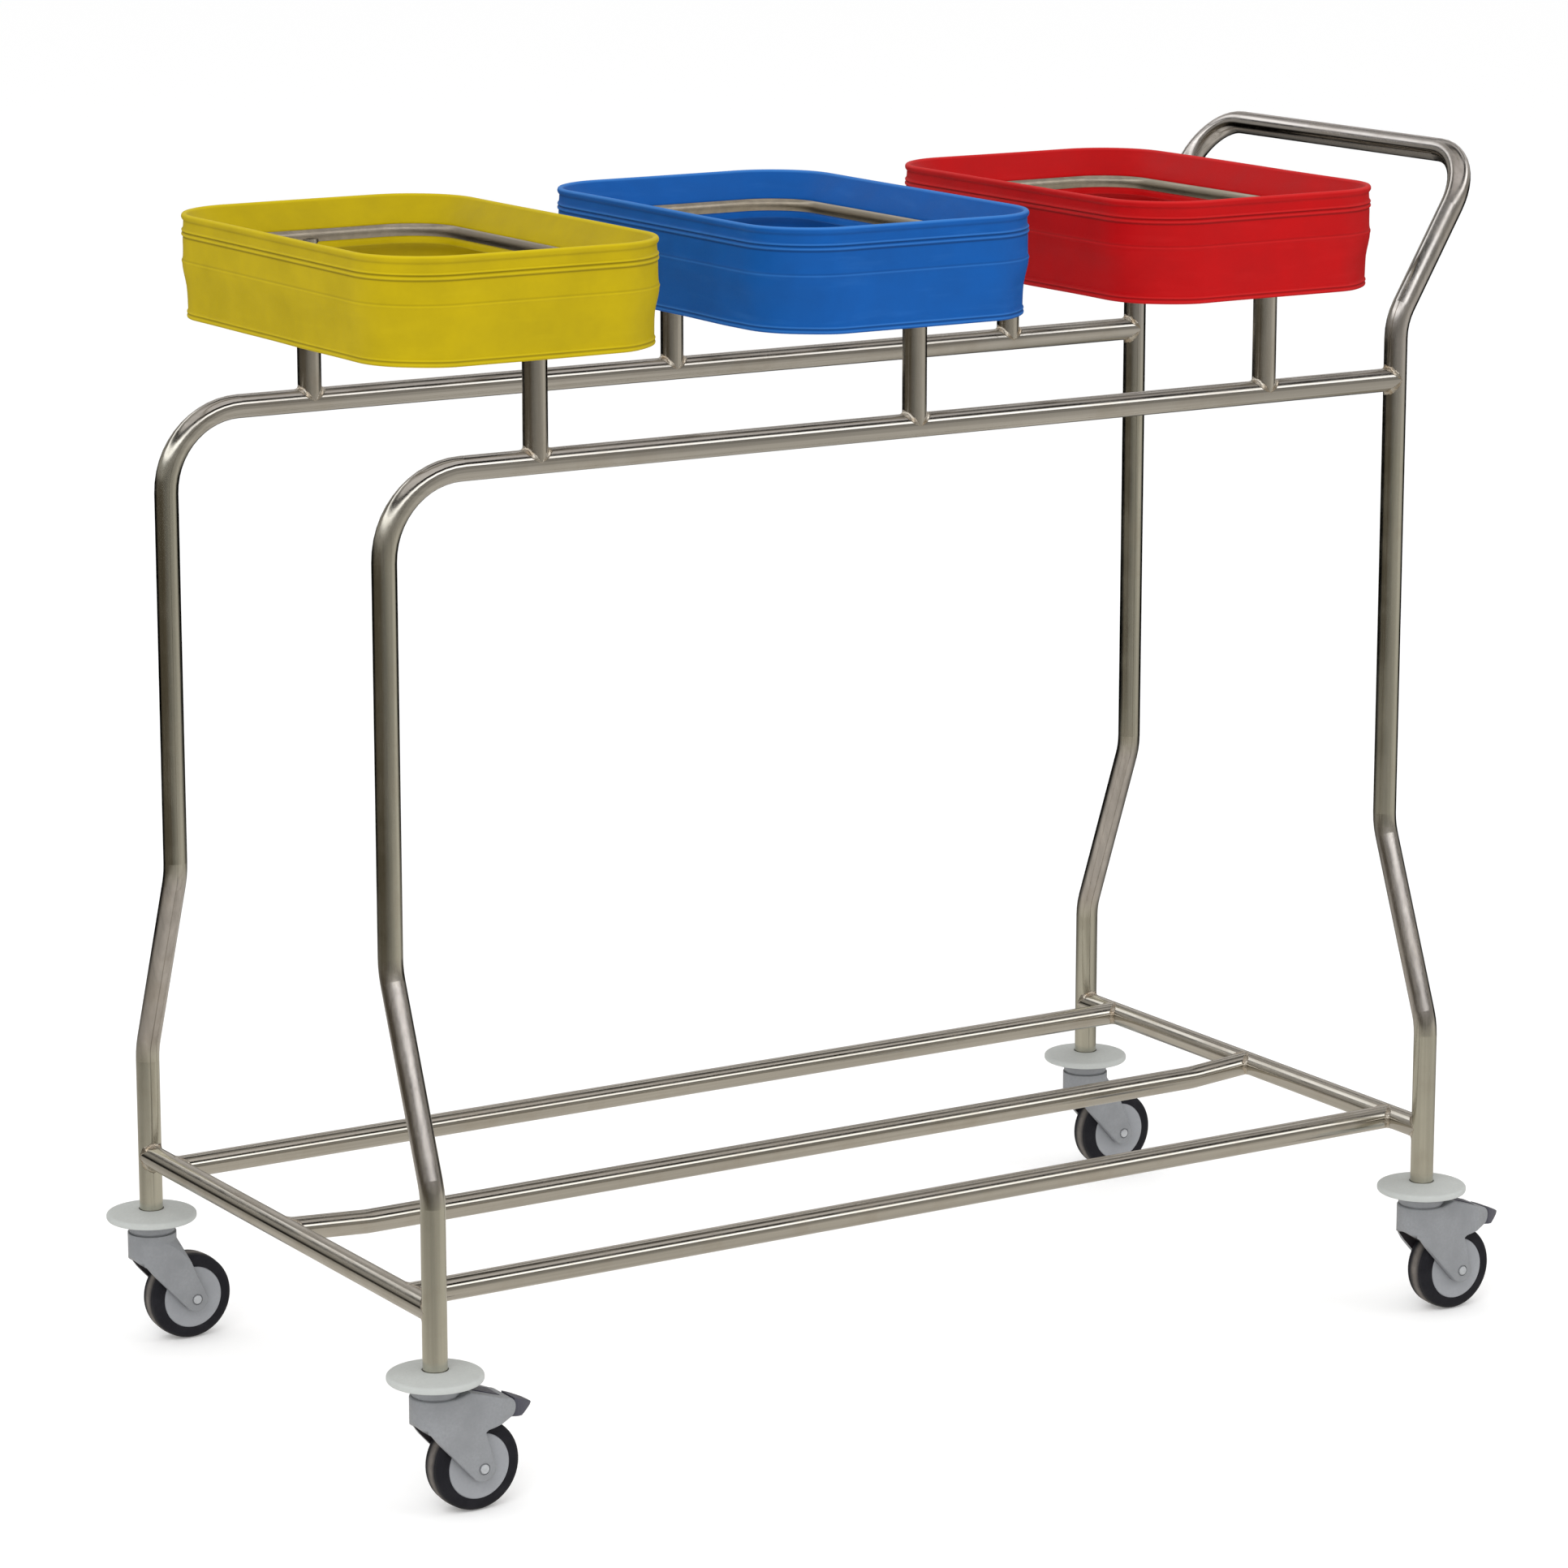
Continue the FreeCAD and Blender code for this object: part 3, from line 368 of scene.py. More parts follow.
def rubber(name, face, rim):
    """Matte moulded rubber with pale dust streaks, painted shade in its creases and painted highlights on its
    rim and beads.
    """
    g = Graph(name + " rubber")
    ring = "rubber_ring_" + name
    crown = top(ring)
    outer = outside(g, middle(ring, X))
    cloud = g.noise(g.coords, 22.0, 4.0, 0.6)
    grain = g.noise(g.coords, 900.0, 2.0, 0.5)
    streak = g.noise(g.stretched((14.0, 14.0, 90.0)), 1.0, 3.0, 0.5)
    colour = g.mix(g.span(cloud, NOISE_LOW, 0.72), shaded(face, CLOUD_SHADE), srgb(*face))
    colour = g.mix(g.span(streak, 0.55, 0.8, 0.0, STREAK_AMOUNT), colour, srgb(*rim))
    # Painted shade darkens the creases and painted highlights lighten the beads, on the outer face only.
    colour = level_lines(g, colour, outer, crown, SHADED_CREASES, CREASE_HALF, shaded(face, CREASE_SHADE))
    colour = level_lines(g, colour, outer, crown, BEAD_HIGHLIGHTS, BEAD_HALF, srgb(*rim))
    # Painted highlight: the top of the rim is made paler.
    rim_highlight = g.span(g.xyz()["Z"], crown - RIM_FROM, crown - RIM_TO, 0.0, RIM_HIGHLIGHT)
    colour = g.mix(rim_highlight, colour, srgb(*rim))
    rough = g.math("ADD", g.spread(cloud, 0.0, 0.1), g.spread(grain, 0.46, 0.56))
    g.shade(Base_Color=colour, Roughness=rough, Specular_IOR_Level=RUBBER_SHEEN)
    normal = g.bump(grain, 0.18, 0.00015)
    g.shade(Normal=g.bump(cloud, 0.12, 0.0012, normal))
    return g.material


def off_centre(g):
    """Distance from the middle plane of the caster that a point belongs to."""
    side = g.math("SUBTRACT", g.math("ABSOLUTE", g.xyz()["Y"]), CASTER_Y)
    return g.math("ABSOLUTE", side)


def shade_between_cheeks(g, colour):
    """The colour with painted shade on the faces between a fork's cheeks, below their tops."""
    between = g.span(off_centre(g), CHEEK_INSIDE, CHEEK_INSIDE + CHEEK_EDGE, CHEEK_SHADE_AMOUNT, 0.0)
    low = g.span(g.xyz()["Z"], CHEEK_TOP - CHEEK_FADE, CHEEK_TOP, 1.0, 0.0)
    return g.mix(g.math("MULTIPLY", between, low), colour, srgb(*CHEEK_SHADE_COLOUR))


def plastic(name, colour, mottle=0.07, rough=0.46, cheek_shade=False):
    """Moulded nylon with a faint flow mottle and a fine spark-eroded grain."""
    g = Graph(name)
    flow = g.noise(g.coords, 45.0, 4.0, 0.6)
    grain = g.noise(g.coords, 420.0, 2.0, 0.5)
    scuff = g.noise(g.stretched((160.0, 160.0, 40.0)), 1.0, 5.0, 0.7)
    dark = shaded(colour, 1.0 - 2 * mottle)
    mixed = g.mix(g.spread(flow), dark, shaded(colour, 1.0 + mottle))
    mixed = g.mix(g.span(grain, 0.35, 0.65, 0.0, 0.5), mixed, dark)
    mixed = g.mix(g.span(scuff, 0.64, 0.82, 0.0, 0.2), mixed, shaded(colour, 1.3))
    # Painted shade between a fork's cheeks.
    if cheek_shade:
        mixed = shade_between_cheeks(g, mixed)
    g.shade(Base_Color=mixed, Roughness=g.spread(grain, rough - 0.06, rough + 0.08))
    normal = g.bump(grain, 0.35, 0.0002)
    g.shade(Normal=g.bump(flow, 0.1, 0.0008, normal))
    return g.material


def tyre_rubber():
    """Charcoal tyre rubber with pale dust worn into the middle of its tread."""
    g = Graph("tyre rubber")
    grain = g.noise(g.coords, 700.0, 3.0, 0.6)
    dust = g.noise(g.coords, 60.0, 5.0, 0.65)
    worn = g.span(off_centre(g), DUST_FULL, DUST_GONE, 1.0, 0.0)
    colour = g.mix(g.span(dust, 0.45, 0.75, 0.0, 0.3), srgb(*DARK_TYRE), srgb(*DUSTY_TYRE))
    colour = g.mix(g.math("MULTIPLY", worn, g.spread(dust, 0.45, 1.0)), colour, srgb(*DUST))
    g.shade(Base_Color=colour, Roughness=g.spread(grain, 0.55, 0.7), Specular_IOR_Level=TYRE_SHEEN)
    normal = g.bump(grain, 0.3, 0.0002)
    g.shade(Normal=g.bump(dust, 0.15, 0.0006, normal))
    return g.material


# ---------------------------------------------------------------- materials of the nodes

STEEL = [steel("satin steel along " + "XYZ"[axis], axis, direction=partial(straight, along=axis))
         for axis in (X, Y, Z)]
SIDE_STEEL = steel("satin steel of the side tubes", Z, LEG_TINT, front_bend,
                   turn=(top("side_tube_left") - TOP_RAIL_TURN, X))
HANDLE_STEEL = steel("satin steel of the handle tube", Z, LEG_TINT, handle_bends,
                     turn=(top("handle_tube") - HANDLE_TURN, Y))
HOOP_STEEL = steel("hoop steel", Y, HOOP_TINT, dull=HOOP_DULLNESS)
WELD = weld_steel()
BEARING = bright_metal("ground steel", (176, 176, 176), rough=0.25)
CASTER_MATERIALS = {
    "bumper_disc": plastic("pale grey plastic", (184, 187, 184), mottle=0.03, rough=0.5),
    "stem": bright_metal("zinc", (168, 168, 166), rough=0.34),
    "swivel_bearing": BEARING,
    "fork": plastic("blue-grey nylon", (136, 138, 141), cheek_shade=True),
    "thread_guard": plastic("black plastic", (17, 12, 15), mottle=0.1, rough=0.7),
    "axle": bright_metal("bright zinc", (188, 191, 194), rough=0.45, metallic=0.3),
    "hub": plastic("hub nylon", (147, 149, 153), mottle=0.04, rough=0.44),
    "tyre": tyre_rubber(),
    "wheel_bearings": BEARING,
    "brake_pedal": plastic("slate nylon", (70, 70, 82), mottle=0.08, rough=0.42),
    "brake_shoe": plastic("brake rubber", (35, 35, 37), mottle=0.1, rough=0.6),
}
# Each ring's face colour, and a paler colour that paints the highlights on its rim and beads and also colours
# its dust streaks.
RUBBER = {
    "yellow": rubber("yellow", (178, 156, 0), (204, 182, 16)),
    "blue": rubber("blue", (8, 82, 158), (64, 130, 204)),
    "red": rubber("red", (178, 2, 6), (206, 40, 40)),
}


def dress(node, material):
    """Gives a CAD node its material."""
    thing = NODES[node]
    for slot in thing.material_slots:
        slot.material = material
    if not thing.material_slots:
        thing.data.materials.append(material)


def dress_nodes():
    """Gives every CAD node that stays its material."""
    for side in SIDES:
        dress("side_tube_" + side, SIDE_STEEL)
        dress("base_rail_" + side, STEEL[X])
        for station in STATIONS:
            dress("post_%s_%s" % (station, side), STEEL[Z])
    dress("handle_tube", HANDLE_STEEL)
    dress("base_rail_middle", STEEL[X])
    dress("base_cross_front", STEEL[Y])
    dress("base_cross_rear", STEEL[Y])
    for station in STATIONS:
        dress("hoop_" + station, HOOP_STEEL)
    for caster in CASTERS:
        for kind, material in CASTER_MATERIALS.items():
            node = "%s_%s" % (kind, caster)
            if node in NODES:
                dress(node, material)


# ---------------------------------------------------------------- moulded rings

def in_scene(name, data):
    """A new object in the scene."""
    thing = bpy.data.objects.new(name, data)
    bpy.context.scene.collection.objects.link(thing)
    return thing


def add_mesh(name, vertices, faces, material, body="frame"):
    """A smooth new piece that rides on a body."""
    mesh = bpy.data.meshes.new(name)
    mesh.from_pydata(vertices, [], faces)
    mesh.materials.append(material)
    mesh.polygons.foreach_set("use_smooth", [True] * len(mesh.polygons))
    mesh.update()
    thing = in_scene(name, mesh)
    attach(thing, body)
    return thing


def closed_tube_faces(rows, columns):
    """Quads between rows of section points. Rows and columns both close on themselves."""
    faces = []
    for i in range(rows):
        for j in range(columns):
            a = i * columns + j
            b = i * columns + (j + 1) % columns
            c = ((i + 1) % rows) * columns + (j + 1) % columns
            d = ((i + 1) % rows) * columns + j
            faces.append((a, b, c, d))
    return faces


def smoothstep(value, low, high):
    """0 below low, 1 above high, with a soft step between."""
    t = min(1.0, max(0.0, (value - low) / (high - low)))
    return t * t * (3.0 - 2.0 * t)


HOOP_R = 0.00775
HOOP_CORNER_R = 0.053
STRAIGHT_STEP = 0.006
CORNER_STEPS = 18


def hoop_line(station):
    """The hoop's centre line as (point, outward normal), once round, with even steps."""
    low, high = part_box("hoop_" + station)
    centre = Vector([(a + b) / 2 for a, b in zip(low, high)])
    corner_x = (high[X] - low[X]) / 2 - HOOP_R - HOOP_CORNER_R
    corner_y = (high[Y] - low[Y]) / 2 - HOOP_R - HOOP_CORNER_R
    line = []
    corners = [(1, 1), (-1, 1), (-1, -1), (1, -1)]
    for i, (side_x, side_y) in enumerate(corners):
        pivot = centre + Vector((side_x * corner_x, side_y * corner_y, 0))
        for k in range(CORNER_STEPS + 1):
            angle = i * math.pi / 2 + math.pi / 2 * k / CORNER_STEPS
            normal = Vector((math.cos(angle), math.sin(angle), 0))
            line.append((pivot + normal * HOOP_CORNER_R, normal))
        next_x, next_y = corners[(i + 1) % 4]
        end = centre + Vector((next_x * corner_x, next_y * corner_y, 0)) + normal * HOOP_CORNER_R
        begin = line[-1][0]
        steps = max(2, round((end - begin).length / STRAIGHT_STEP))
        for k in range(1, steps):
            line.append((begin.lerp(end, k / steps), normal))
    return line


# The rubber's section as (offset out of the hoop's centre line, height over it), in millimetres, from the lip
# inside the hoop up over the rim, down the beads and the wall, round the hem and up the inside.
INNER_TOP = [(-6.6, 6.15), (-7.7, 6.5), (-8.25, 7.3), (-8.0, 8.4), (-7.0, 10.2), (-4.6, 13.6), (-1.6, 17.2),
             (1.6, 21.2), (4.8, 25.3), (7.0, 28.0), (8.0, 29.5), (8.7, 30.6), (9.6, 31.25)]
RIM = [(10.8, 31.5), (12.0, 31.2), (12.9, 30.4), (13.35, 29.2), (13.4, 28.0), (13.0, 26.8), (12.3, 25.8),
       (11.6, 24.9), (11.75, 22.6), (11.85, 20.4), (12.1, 18.8)]
BEAD_PAIR = [(12.5, 18.0), (13.1, 17.5), (13.4, 16.8), (13.2, 15.9), (12.2, 15.25), (12.2, 14.95),
             (12.9, 14.3), (13.3, 13.7), (13.4, 12.9), (13.1, 12.0), (11.9, 11.1)]
WALL = [(11.9, 10.4), (12.05, 9.2), (12.0, 6.0), (11.95, 2.0), (12.0, -2.0), (12.2, -6.0), (12.55, -8.2),
        (13.1, -9.2), (13.35, -10.0), (13.3, -10.9), (13.0, -11.7), (12.9, -12.6), (12.95, -16.0),
        (13.0, -21.0), (13.0, -27.0), (12.9, -33.0), (12.65, -39.0), (12.45, -45.0), (12.35, -50.0),
        (12.3, -52.4)]
HEM = [(12.6, -53.2), (13.1, -53.8), (13.3, -54.6), (13.1, -55.4), (12.65, -55.9), (12.6, -56.4),
       (12.9, -57.0), (13.25, -57.8), (13.2, -58.8), (12.8, -59.7), (12.2, -60.15), (11.6, -60.1)]
INSIDE = [(11.25, -59.6), (11.15, -57.0), (11.1, -48.0), (11.1, -38.0), (11.1, -28.0), (11.1, -20.0),
          (10.9, -16.4), (10.0, -14.0), (8.0, -12.9), (4.0, -12.4), (-1.0, -12.1), (-6.0, -11.7),
          (-8.4, -11.3), (-9.1, -10.6), (-9.3, -9.6), (-9.3, -7.6), (-9.1, -6.2), (-8.4, -5.4), (-7.4, -5.0)]

# The pocket that grips the hoop, in degrees round the hoop's centre line, and its clearance in millimetres.
GRIP_FROM = 216
GRIP_TO = 492
GRIP_STEPS = 16
GRIP_GAP = 0.33

# Where a short end begins, by how much of the outward normal points along X.
END_TURN = (0.08, 0.65)

# How far the rubber strays from its section, in millimetres: drawn in at the short ends, at most so far in or
# out, and lifted at the hem and the rim.
END_DRAWN_LOW = 3.6
END_DRAWN_TOP = 0.48
MOST_DRAWN = 4.6
MOST_PROUD = 0.25
HEM_LIFT = 0.5
RIM_HUMP = 0.35

# The depths under the hoop's centre line, or the heights over it, between which each of these sets in.
DRAWN_LOW_DEPTHS = (11.0, 36.0)
DRAWN_TOP_HEIGHTS = (6.0, 18.0)
RIPPLE_DEPTHS = (-14.0, 30.0)
HEM_DEPTHS = (30.0, 60.0)
RIM_HEIGHTS = (14.0, 31.0)

# Waves per metre of the ripples, the hem and the rim, and the ripples' waves per millimetre of depth.
RIPPLE_SCALE = 13.0
HEM_SCALE = 9.0
RIM_SCALE = 7.0
RIPPLE_SLANT = 0.022

# The ripples along a side, as a part of those added at a short end, and how far the rim's waves are sunk.
SIDE_RIPPLE = 0.35
RIM_SUNK = 0.4

# The part of the section that grips the hoop lies within these, and its outer face beyond OUTER_FROM.
GRIP_OUT = 10.0
GRIP_UP = 13.0
OUTER_FROM = 10.5


def ring_section():
    """The whole section, with the pocket round the hoop."""
    pocket = HOOP_R * 1000 + GRIP_GAP
    grip = []
    for k in range(GRIP_STEPS + 1):
        angle = math.radians(GRIP_FROM + (GRIP_TO - GRIP_FROM) * k / GRIP_STEPS)
        grip.append((pocket * math.cos(angle), pocket * math.sin(angle)))
    return grip + INNER_TOP + RIM + BEAD_PAIR + WALL + HEM + INSIDE


def wall_shift(point, end, out, up, phase, wave):
    """How far a point of the wall moves out, in millimetres: it is drawn in at the short ends and ripples.

    end is 1 at a short end and 0 along the sides. out and up give the point's place in the section.
    """
    gripping = out < GRIP_OUT and abs(up) < GRIP_UP
    if gripping:
        return 0.0
    drawn_low = END_DRAWN_LOW * end * smoothstep(-up, *DRAWN_LOW_DEPTHS)
    drawn_top = END_DRAWN_TOP * end * smoothstep(up, *DRAWN_TOP_HEIGHTS)
    seed = Vector((point.x * RIPPLE_SCALE + phase, point.y * RIPPLE_SCALE, up * RIPPLE_SLANT))
    ripple = noise.noise(seed) * wave * (SIDE_RIPPLE + end) * smoothstep(-up, *RIPPLE_DEPTHS)
    shift = max(ripple - (drawn_low + drawn_top), -MOST_DRAWN * end)
    return min(shift, MOST_PROUD if out > OUTER_FROM else 0.0)


def wall_rise(point, up, phase):
    """How far a point of the wall moves up, in millimetres: the hem and the rim both wander a little."""
    hem = noise.noise(Vector((point.x * HEM_SCALE, point.y * HEM_SCALE + phase, 4.0)))
    rim = noise.noise(Vector((point.x * RIM_SCALE - phase, point.y * RIM_SCALE, 9.0))) - RIM_SUNK
    lift = HEM_LIFT * hem * smoothstep(-up, *HEM_DEPTHS)
    hump = RIM_HUMP * rim * smoothstep(up, *RIM_HEIGHTS)
    return lift + hump


def rubber_ring(station, phase, wave):
    """A ring whose wall is drawn in at its short ends and ripples a little, as moulded rubber does.

    phase picks the ring's own ripples, and wave is their height in millimetres.
    """
    line = hoop_line(station)
    section = ring_section()
    vertices = []
    for point, normal in line:
        end = smoothstep(abs(normal.x), *END_TURN)
        for out, up in section:
            shift = wall_shift(point, end, out, up, phase, wave)
            place = point + normal * ((out + shift) / 1000)
            place.z += (up + wall_rise(point, up, phase)) / 1000
            vertices.append(place)
    faces = closed_tube_faces(len(line), len(section))
    colour = STATIONS[station]
    ring = add_mesh("moulded_ring_" + colour, vertices, faces, RUBBER[colour])
    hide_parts("rubber_ring_" + colour)
    ring.visible_glossy = False
    return ring


# ---------------------------------------------------------------- welds

WELD_LEG = 0.0032
WELD_STEPS = 96
WELD_POINTS = 7
WELD_PROUD = 0.00003
WELD_BOW = 0.0003
WELD_ROOT = 0.0006
WELD_FADE = 1.6

# (swells once round, how far they stand out as a part of the leg, where they begin) of a weld's uneven edge.
WELD_SWELLS = ((9, 0.12, 0.0), (23, 0.08, 1.3))


def weld(name, centre, branch, run):
    """A ground fillet round the joint where a tube along branch meets the side of one along run."""
    across = branch.cross(run).normalized()
    vertices = []
    for i in range(WELD_STEPS):
        angle = 2 * math.pi * (i + 0.5) / WELD_STEPS
        side = math.sin(angle)
        depth = math.sqrt(max(0.0, 1 - side * side))
        radial = run * math.cos(angle) + across * side
        crease = centre + radial * TUBE_R + branch * (TUBE_R * depth)
        main_normal = (across * side + branch * depth).normalized()
        away = radial - main_normal * radial.dot(main_normal)
        uneven = 1.0 + sum(swell * math.sin(count * angle + turn) for count, swell, turn in WELD_SWELLS)
        size = WELD_LEG * min(1.0, WELD_FADE * depth) * uneven
        up = crease + branch * size
        out = crease + away.normalized() * size
        off_run = out - centre
        off_run -= run * off_run.dot(run)
        out = centre + run * (out - centre).dot(run) + off_run.normalized() * (TUBE_R + WELD_PROUD)
        bow = crease + (radial + main_normal) * WELD_BOW
        for k in range(WELD_POINTS):
            t = k / (WELD_POINTS - 1)
            vertices.append(up * (1 - t) ** 2 + bow * 2 * t * (1 - t) + out * t * t)
        vertices.append(crease - (radial + branch) * WELD_ROOT)
    faces = closed_tube_faces(WELD_STEPS, WELD_POINTS + 1)
    return add_mesh(name, vertices, faces, WELD)


def all_welds():
    """A weld at every joint of the frame where one tube ends on another."""
    x_axis, y_axis, z_axis = Vector((1, 0, 0)), Vector((0, 1, 0)), Vector((0, 0, 1))
    cross_x = {"front": middle("base_cross_front", X), "rear": middle("base_cross_rear", X)}
    base_z = middle("base_cross_front", Z)
    top_z = top("side_tube_left") - TUBE_R
    for name, sign in SIDES.items():
        rail_y = middle("post_front_" + name, Y)
        for station in STATIONS:
            post = "%s_%s" % (station, name)
            weld("weld_post_" + post, Vector((middle("post_" + post, X), rail_y, top_z)), z_axis, x_axis)
        weld("weld_top_rail_" + name, Vector((cross_x["rear"], rail_y, top_z)), -x_axis, z_axis)
        leg_y = middle("bumper_disc_front_" + name, Y)
        for place, x in cross_x.items():
            weld("weld_leg_%s_%s" % (place, name), Vector((x, leg_y, base_z)), -sign * y_axis, z_axis)
    for name in ("left", "middle", "right"):
        y = middle("base_rail_" + name, Y)
        weld("weld_base_front_" + name, Vector((cross_x["front"], y, base_z)), x_axis, y_axis)
        weld("weld_base_rear_" + name, Vector((cross_x["rear"], y, base_z)), -x_axis, y_axis)


# ---------------------------------------------------------------- floor

FLOOR_HALF = 40.0
FLOOR_ALBEDO = (0.92, 0.92, 0.92, 1.0)
FLOOR_GLOW = 0.14
WHITE = (1.0, 1.0, 1.0, 1.0)


def stage_square(name, half, height, material):
    """A level square of the stage, not of the object."""
    mesh = bpy.data.meshes.new(name)
    corners = [(-half, -half, height), (half, -half, height), (half, half, height), (-half, half, height)]
    mesh.from_pydata(corners, [], [(0, 1, 2, 3)])
    mesh.materials.append(material)
    mesh.update()
    thing = in_scene(name, mesh)
    return thing


def make_floor():
    """A plain pale floor. The steel reflects the card over it instead."""
    g = Graph("pale floor")
    g.shade(Base_Color=FLOOR_ALBEDO, Roughness=0.9, Emission_Color=WHITE, Emission_Strength=FLOOR_GLOW)
    floor = stage_square("floor", FLOOR_HALF, 0, g.material)
    floor.visible_glossy = False


# ---------------------------------------------------------------- what the steel reflects

CAMERA_BEARING = math.radians(-122.3)
ROOM_R = 28.0
CARD_HALF = 30.0
CARD_Z = 0.0005

# Distances from under the object between which the reflected floor changes.
NEAR_FLOOR = (0.8, 1.2)
FAR_FLOOR = (1.5, 2.0)
UNDER_TO = 3.0


def warm(value):
    return (value, value * 0.955, value * 0.87)


def brown(value):
    return (value, value * 0.84, value * 0.6)


def grey(value):
    return (value,) * 3


HAZE = (0.7, 0.67, 0.65)

# Colours round the studio. 0.5 is towards the camera and more is to its right.
SIDE_STOPS = [(0.0, warm(0.0)), (0.205, warm(0.0)), (0.245, brown(0.09)), (0.4, brown(0.09)),
              (0.48, warm(0.19)), (0.56, warm(0.3)), (0.66, warm(0.42)), (0.74, warm(0.62)),
              (0.79, warm(0.52)), (0.83, warm(0.0)), (1.0, warm(0.0))]
NEAR_SIDE_STOPS = [(0.0, warm(0.16)), (0.12, warm(0.2)), (0.17, warm(0.46)), (0.3, warm(0.44)),
                   (0.5, warm(0.45)), (0.68, warm(0.58)), (0.78, warm(0.56)), (0.84, warm(0.3)),
                   (0.9, warm(0.18)), (1.0, warm(0.16))]

# Colours from under the object, at 0, out to UNDER_TO metres away, at 1.
FLOOR_STOPS = [(0.0, warm(0.62)), (0.3, warm(0.62)), (0.5, warm(0.5)), (1.0, warm(0.3))]

# Colours up from the horizon, at 0, to straight overhead, at 1: on the camera's side, on its left and beyond.
NEAR_SKY = [(0.0, warm(0.1)), (0.05, warm(0.12)), (0.1, warm(0.34)), (0.2, warm(0.28)), (0.25, warm(0.08)),
            (0.28, grey(2.1)), (0.39, grey(2.1)), (0.43, warm(0.3)), (0.47, warm(0.0)), (0.575, warm(0.0)),
            (0.6, (0.8, 0.77, 0.75)), (1.0, HAZE)]
LEFT_SKY = [(0.0, warm(0.36)), (0.22, warm(0.34)), (0.25, warm(0.03)), (0.325, warm(0.03)),
            (0.345, grey(1.6)), (0.42, grey(1.6)), (0.5, warm(0.4)), (1.0, HAZE)]
FAR_SKY = [(0.0, warm(0.5)), (0.32, HAZE), (0.345, warm(0.03)), (0.395, warm(0.03)),
           (0.42, (0.66, 0.64, 0.62)), (0.56, (0.74, 0.72, 0.7)), (0.585, warm(0.0)), (0.7, warm(0.0)),
           (0.72, warm(0.5)), (1.0, warm(0.5))]

# Bearings between which each sky fades in and out.
LEFT_FROM = (0.08, 0.095)
LEFT_TO = (0.18, 0.24)
NEAR_TO = (0.8, 0.88)
HORIZON = (0.0, 0.1)


def only_in_reflections(thing):
    """Lets a thing show in the steel's reflections and nowhere else."""
    thing.visible_camera = False
    thing.visible_diffuse = False
    thing.visible_transmission = False
    thing.visible_volume_scatter = False
    thing.visible_shadow = False


def ramp(graph, value, stops):
    """A colour ramp from (place, colour) stops."""
    made = graph.node("ShaderNodeValToRGB", {"Fac": value})
    elements = made.color_ramp.elements
    while len(elements) < len(stops):
        elements.new(0.5)
    for element, (place, colour) in zip(elements, stops):
        element.position = place
        element.color = tuple(colour) + (1.0,)
    return made.outputs["Color"]


def bearing(graph):
    """0 to 1 round the studio. 0.5 is towards the camera and more is to its right."""
    turned = graph.node("ShaderNodeVectorRotate", {"Vector": graph.coords, "Angle": -CAMERA_BEARING},
                        rotation_type="Z_AXIS")
    parts = graph.xyz(turned.outputs[0])
    angle = graph.math("ARCTAN2", parts["Y"], parts["X"])
    return graph.span(angle, -math.pi, math.pi)


def glow_only(graph, colour):
    """Makes the material a plain light of the colour, which isn't sampled as a lamp."""
    light = graph.node("ShaderNodeEmission", {"Color": colour, "Strength": 1.0})
    graph.set(graph.output.inputs["Surface"], light.outputs[0])
    graph.nodes.remove(graph.shader)
    graph.material.cycles.emission_sampling = "NONE"


def make_reflected_floor():
    """What the steel sees below the horizon: pale close to the object and darker further away."""
    g = Graph("reflected floor")
    turn = bearing(g)
    distance = g.node("ShaderNodeVectorMath", {0: g.coords}, operation="LENGTH").outputs["Value"]
    under = ramp(g, g.span(distance, 0.0, UNDER_TO), FLOOR_STOPS)
    near = g.mix(g.span(distance, *NEAR_FLOOR), under, ramp(g, turn, NEAR_SIDE_STOPS))
    glow_only(g, g.mix(g.span(distance, *FAR_FLOOR), near, ramp(g, turn, SIDE_STOPS)))
    only_in_reflections(stage_square("reflected_floor", CARD_HALF, CARD_Z, g.material))


def sky_colour(g):
    """The colour of the reflected room by bearing and height."""
    direction = g.node("ShaderNodeVectorMath", {0: g.coords}, operation="NORMALIZE").outputs[0]
    level = g.math("DIVIDE", g.math("ARCSINE", g.xyz(direction)["Z"]), math.pi / 2)
    turn = bearing(g)
    left = g.math("MULTIPLY", g.span(turn, *LEFT_FROM), g.span(turn, *LEFT_TO, 1.0, 0.0))
    near = g.math("MULTIPLY", g.span(turn, *LEFT_TO), g.span(turn, *NEAR_TO, 1.0, 0.0))
    sky = g.mix(left, ramp(g, level, FAR_SKY), ramp(g, level, LEFT_SKY))
    sky = g.mix(near, sky, ramp(g, level, NEAR_SKY))
    return g.mix(g.span(level, *HORIZON), ramp(g, turn, SIDE_STOPS), sky)


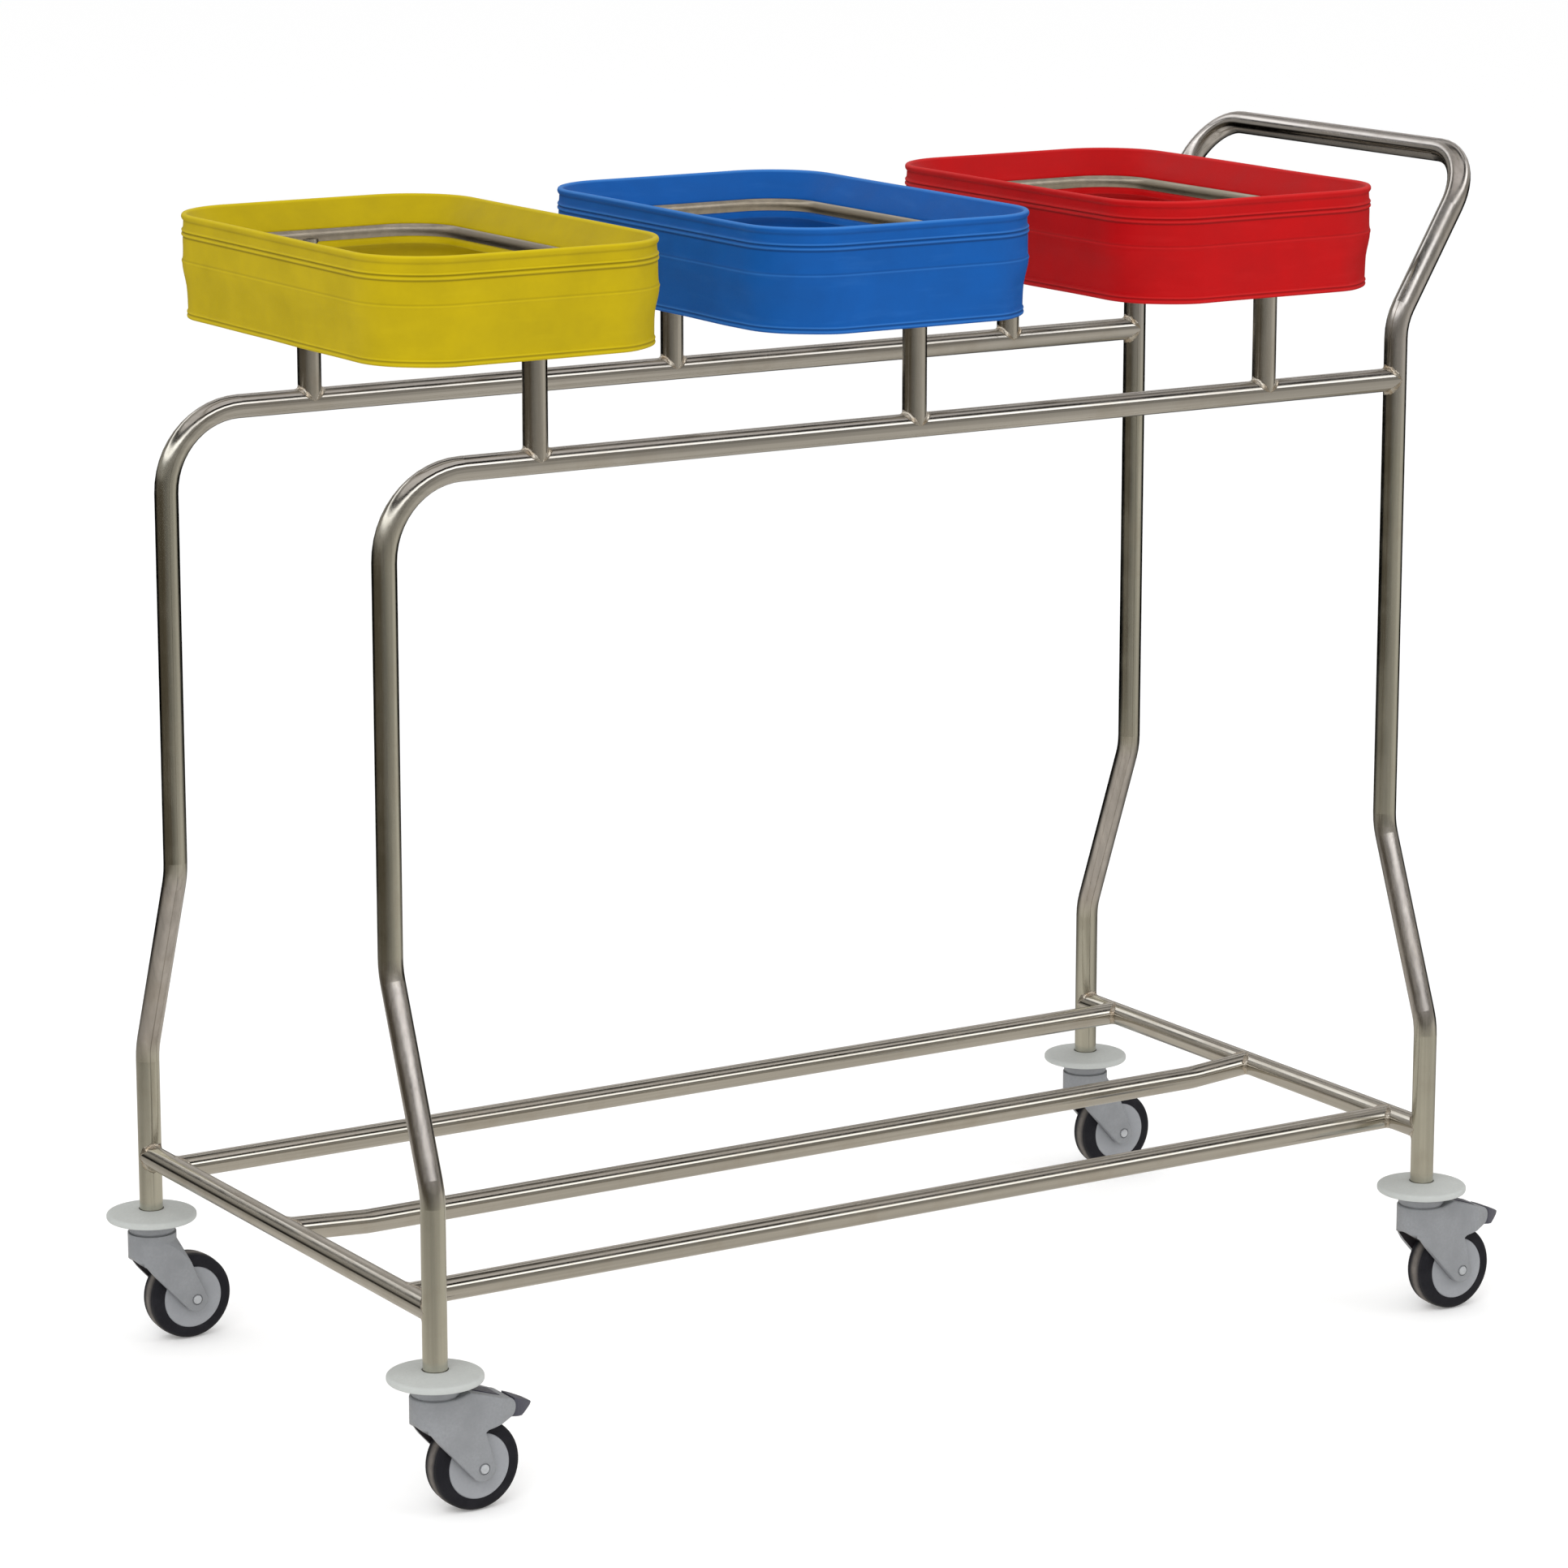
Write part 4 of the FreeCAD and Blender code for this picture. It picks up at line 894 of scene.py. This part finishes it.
def make_reflected_room():
    """What the steel sees above the horizon: pale panels with dark gaps, and strips of light."""
    g = Graph("reflected room")
    glow_only(g, sky_colour(g))
    mesh = bpy.data.meshes.new("reflected_room")
    shape = bmesh.new()
    bmesh.ops.create_uvsphere(shape, u_segments=48, v_segments=24, radius=ROOM_R)
    shape.to_mesh(mesh)
    shape.free()
    mesh.materials.append(g.material)
    room = in_scene("reflected_room", mesh)
    only_in_reflections(room)


# ---------------------------------------------------------------- lights and camera

LIGHT_SIZE = 3.0
LIGHT_AIM = Vector((0, 0, 0.6))


def area_light(name, place, power):
    """A soft square light that the steel doesn't reflect."""
    data = bpy.data.lights.new(name, "AREA")
    data.shape = "RECTANGLE"
    data.size = LIGHT_SIZE
    data.size_y = LIGHT_SIZE
    data.energy = power
    light = in_scene(name, data)
    light.location = place
    light.rotation_euler = (LIGHT_AIM - Vector(place)).to_track_quat("-Z", "Y").to_euler()
    light.visible_glossy = False


def make_lights():
    """An even white studio with two soft lights on the pedals' side."""
    world = bpy.data.worlds.new("soft studio")
    world.use_nodes = True
    background = world.node_tree.nodes["Background"]
    background.inputs["Color"].default_value = WHITE
    background.inputs["Strength"].default_value = 1.0
    bpy.context.scene.world = world
    area_light("key", place=(-3.2, -3.4, 4.2), power=90.0)
    area_light("fill", place=(3.4, -3.0, 3.0), power=25.0)


CAMERA_PLACE = Vector((-2.6223, -4.1484, 1.5949))
CAMERA_YAW = math.radians(31.932)
CAMERA_PITCH = math.radians(12.439)
LENS = 126.48
SENSOR = 36.0
CLIP_END = 200.0


def make_camera():
    """A long lens from the front left, a little above the object."""
    data = bpy.data.cameras.new("camera")
    data.lens = LENS
    data.sensor_width = SENSOR
    data.clip_end = CLIP_END
    camera = in_scene("camera", data)
    level = math.cos(CAMERA_PITCH)
    forward = Vector((math.sin(CAMERA_YAW) * level, math.cos(CAMERA_YAW) * level, -math.sin(CAMERA_PITCH)))
    camera.location = CAMERA_PLACE
    camera.rotation_euler = forward.to_track_quat("-Z", "Y").to_euler()
    bpy.context.scene.camera = camera


dress_nodes()
rubber_ring("front", phase=1.7, wave=0.7)
rubber_ring("middle", phase=5.1, wave=1.5)
rubber_ring("rear", phase=9.4, wave=0.8)
all_welds()
make_floor()
make_reflected_floor()
make_reflected_room()
make_lights()
make_camera()
bpy.context.scene.view_settings.view_transform = "Standard"
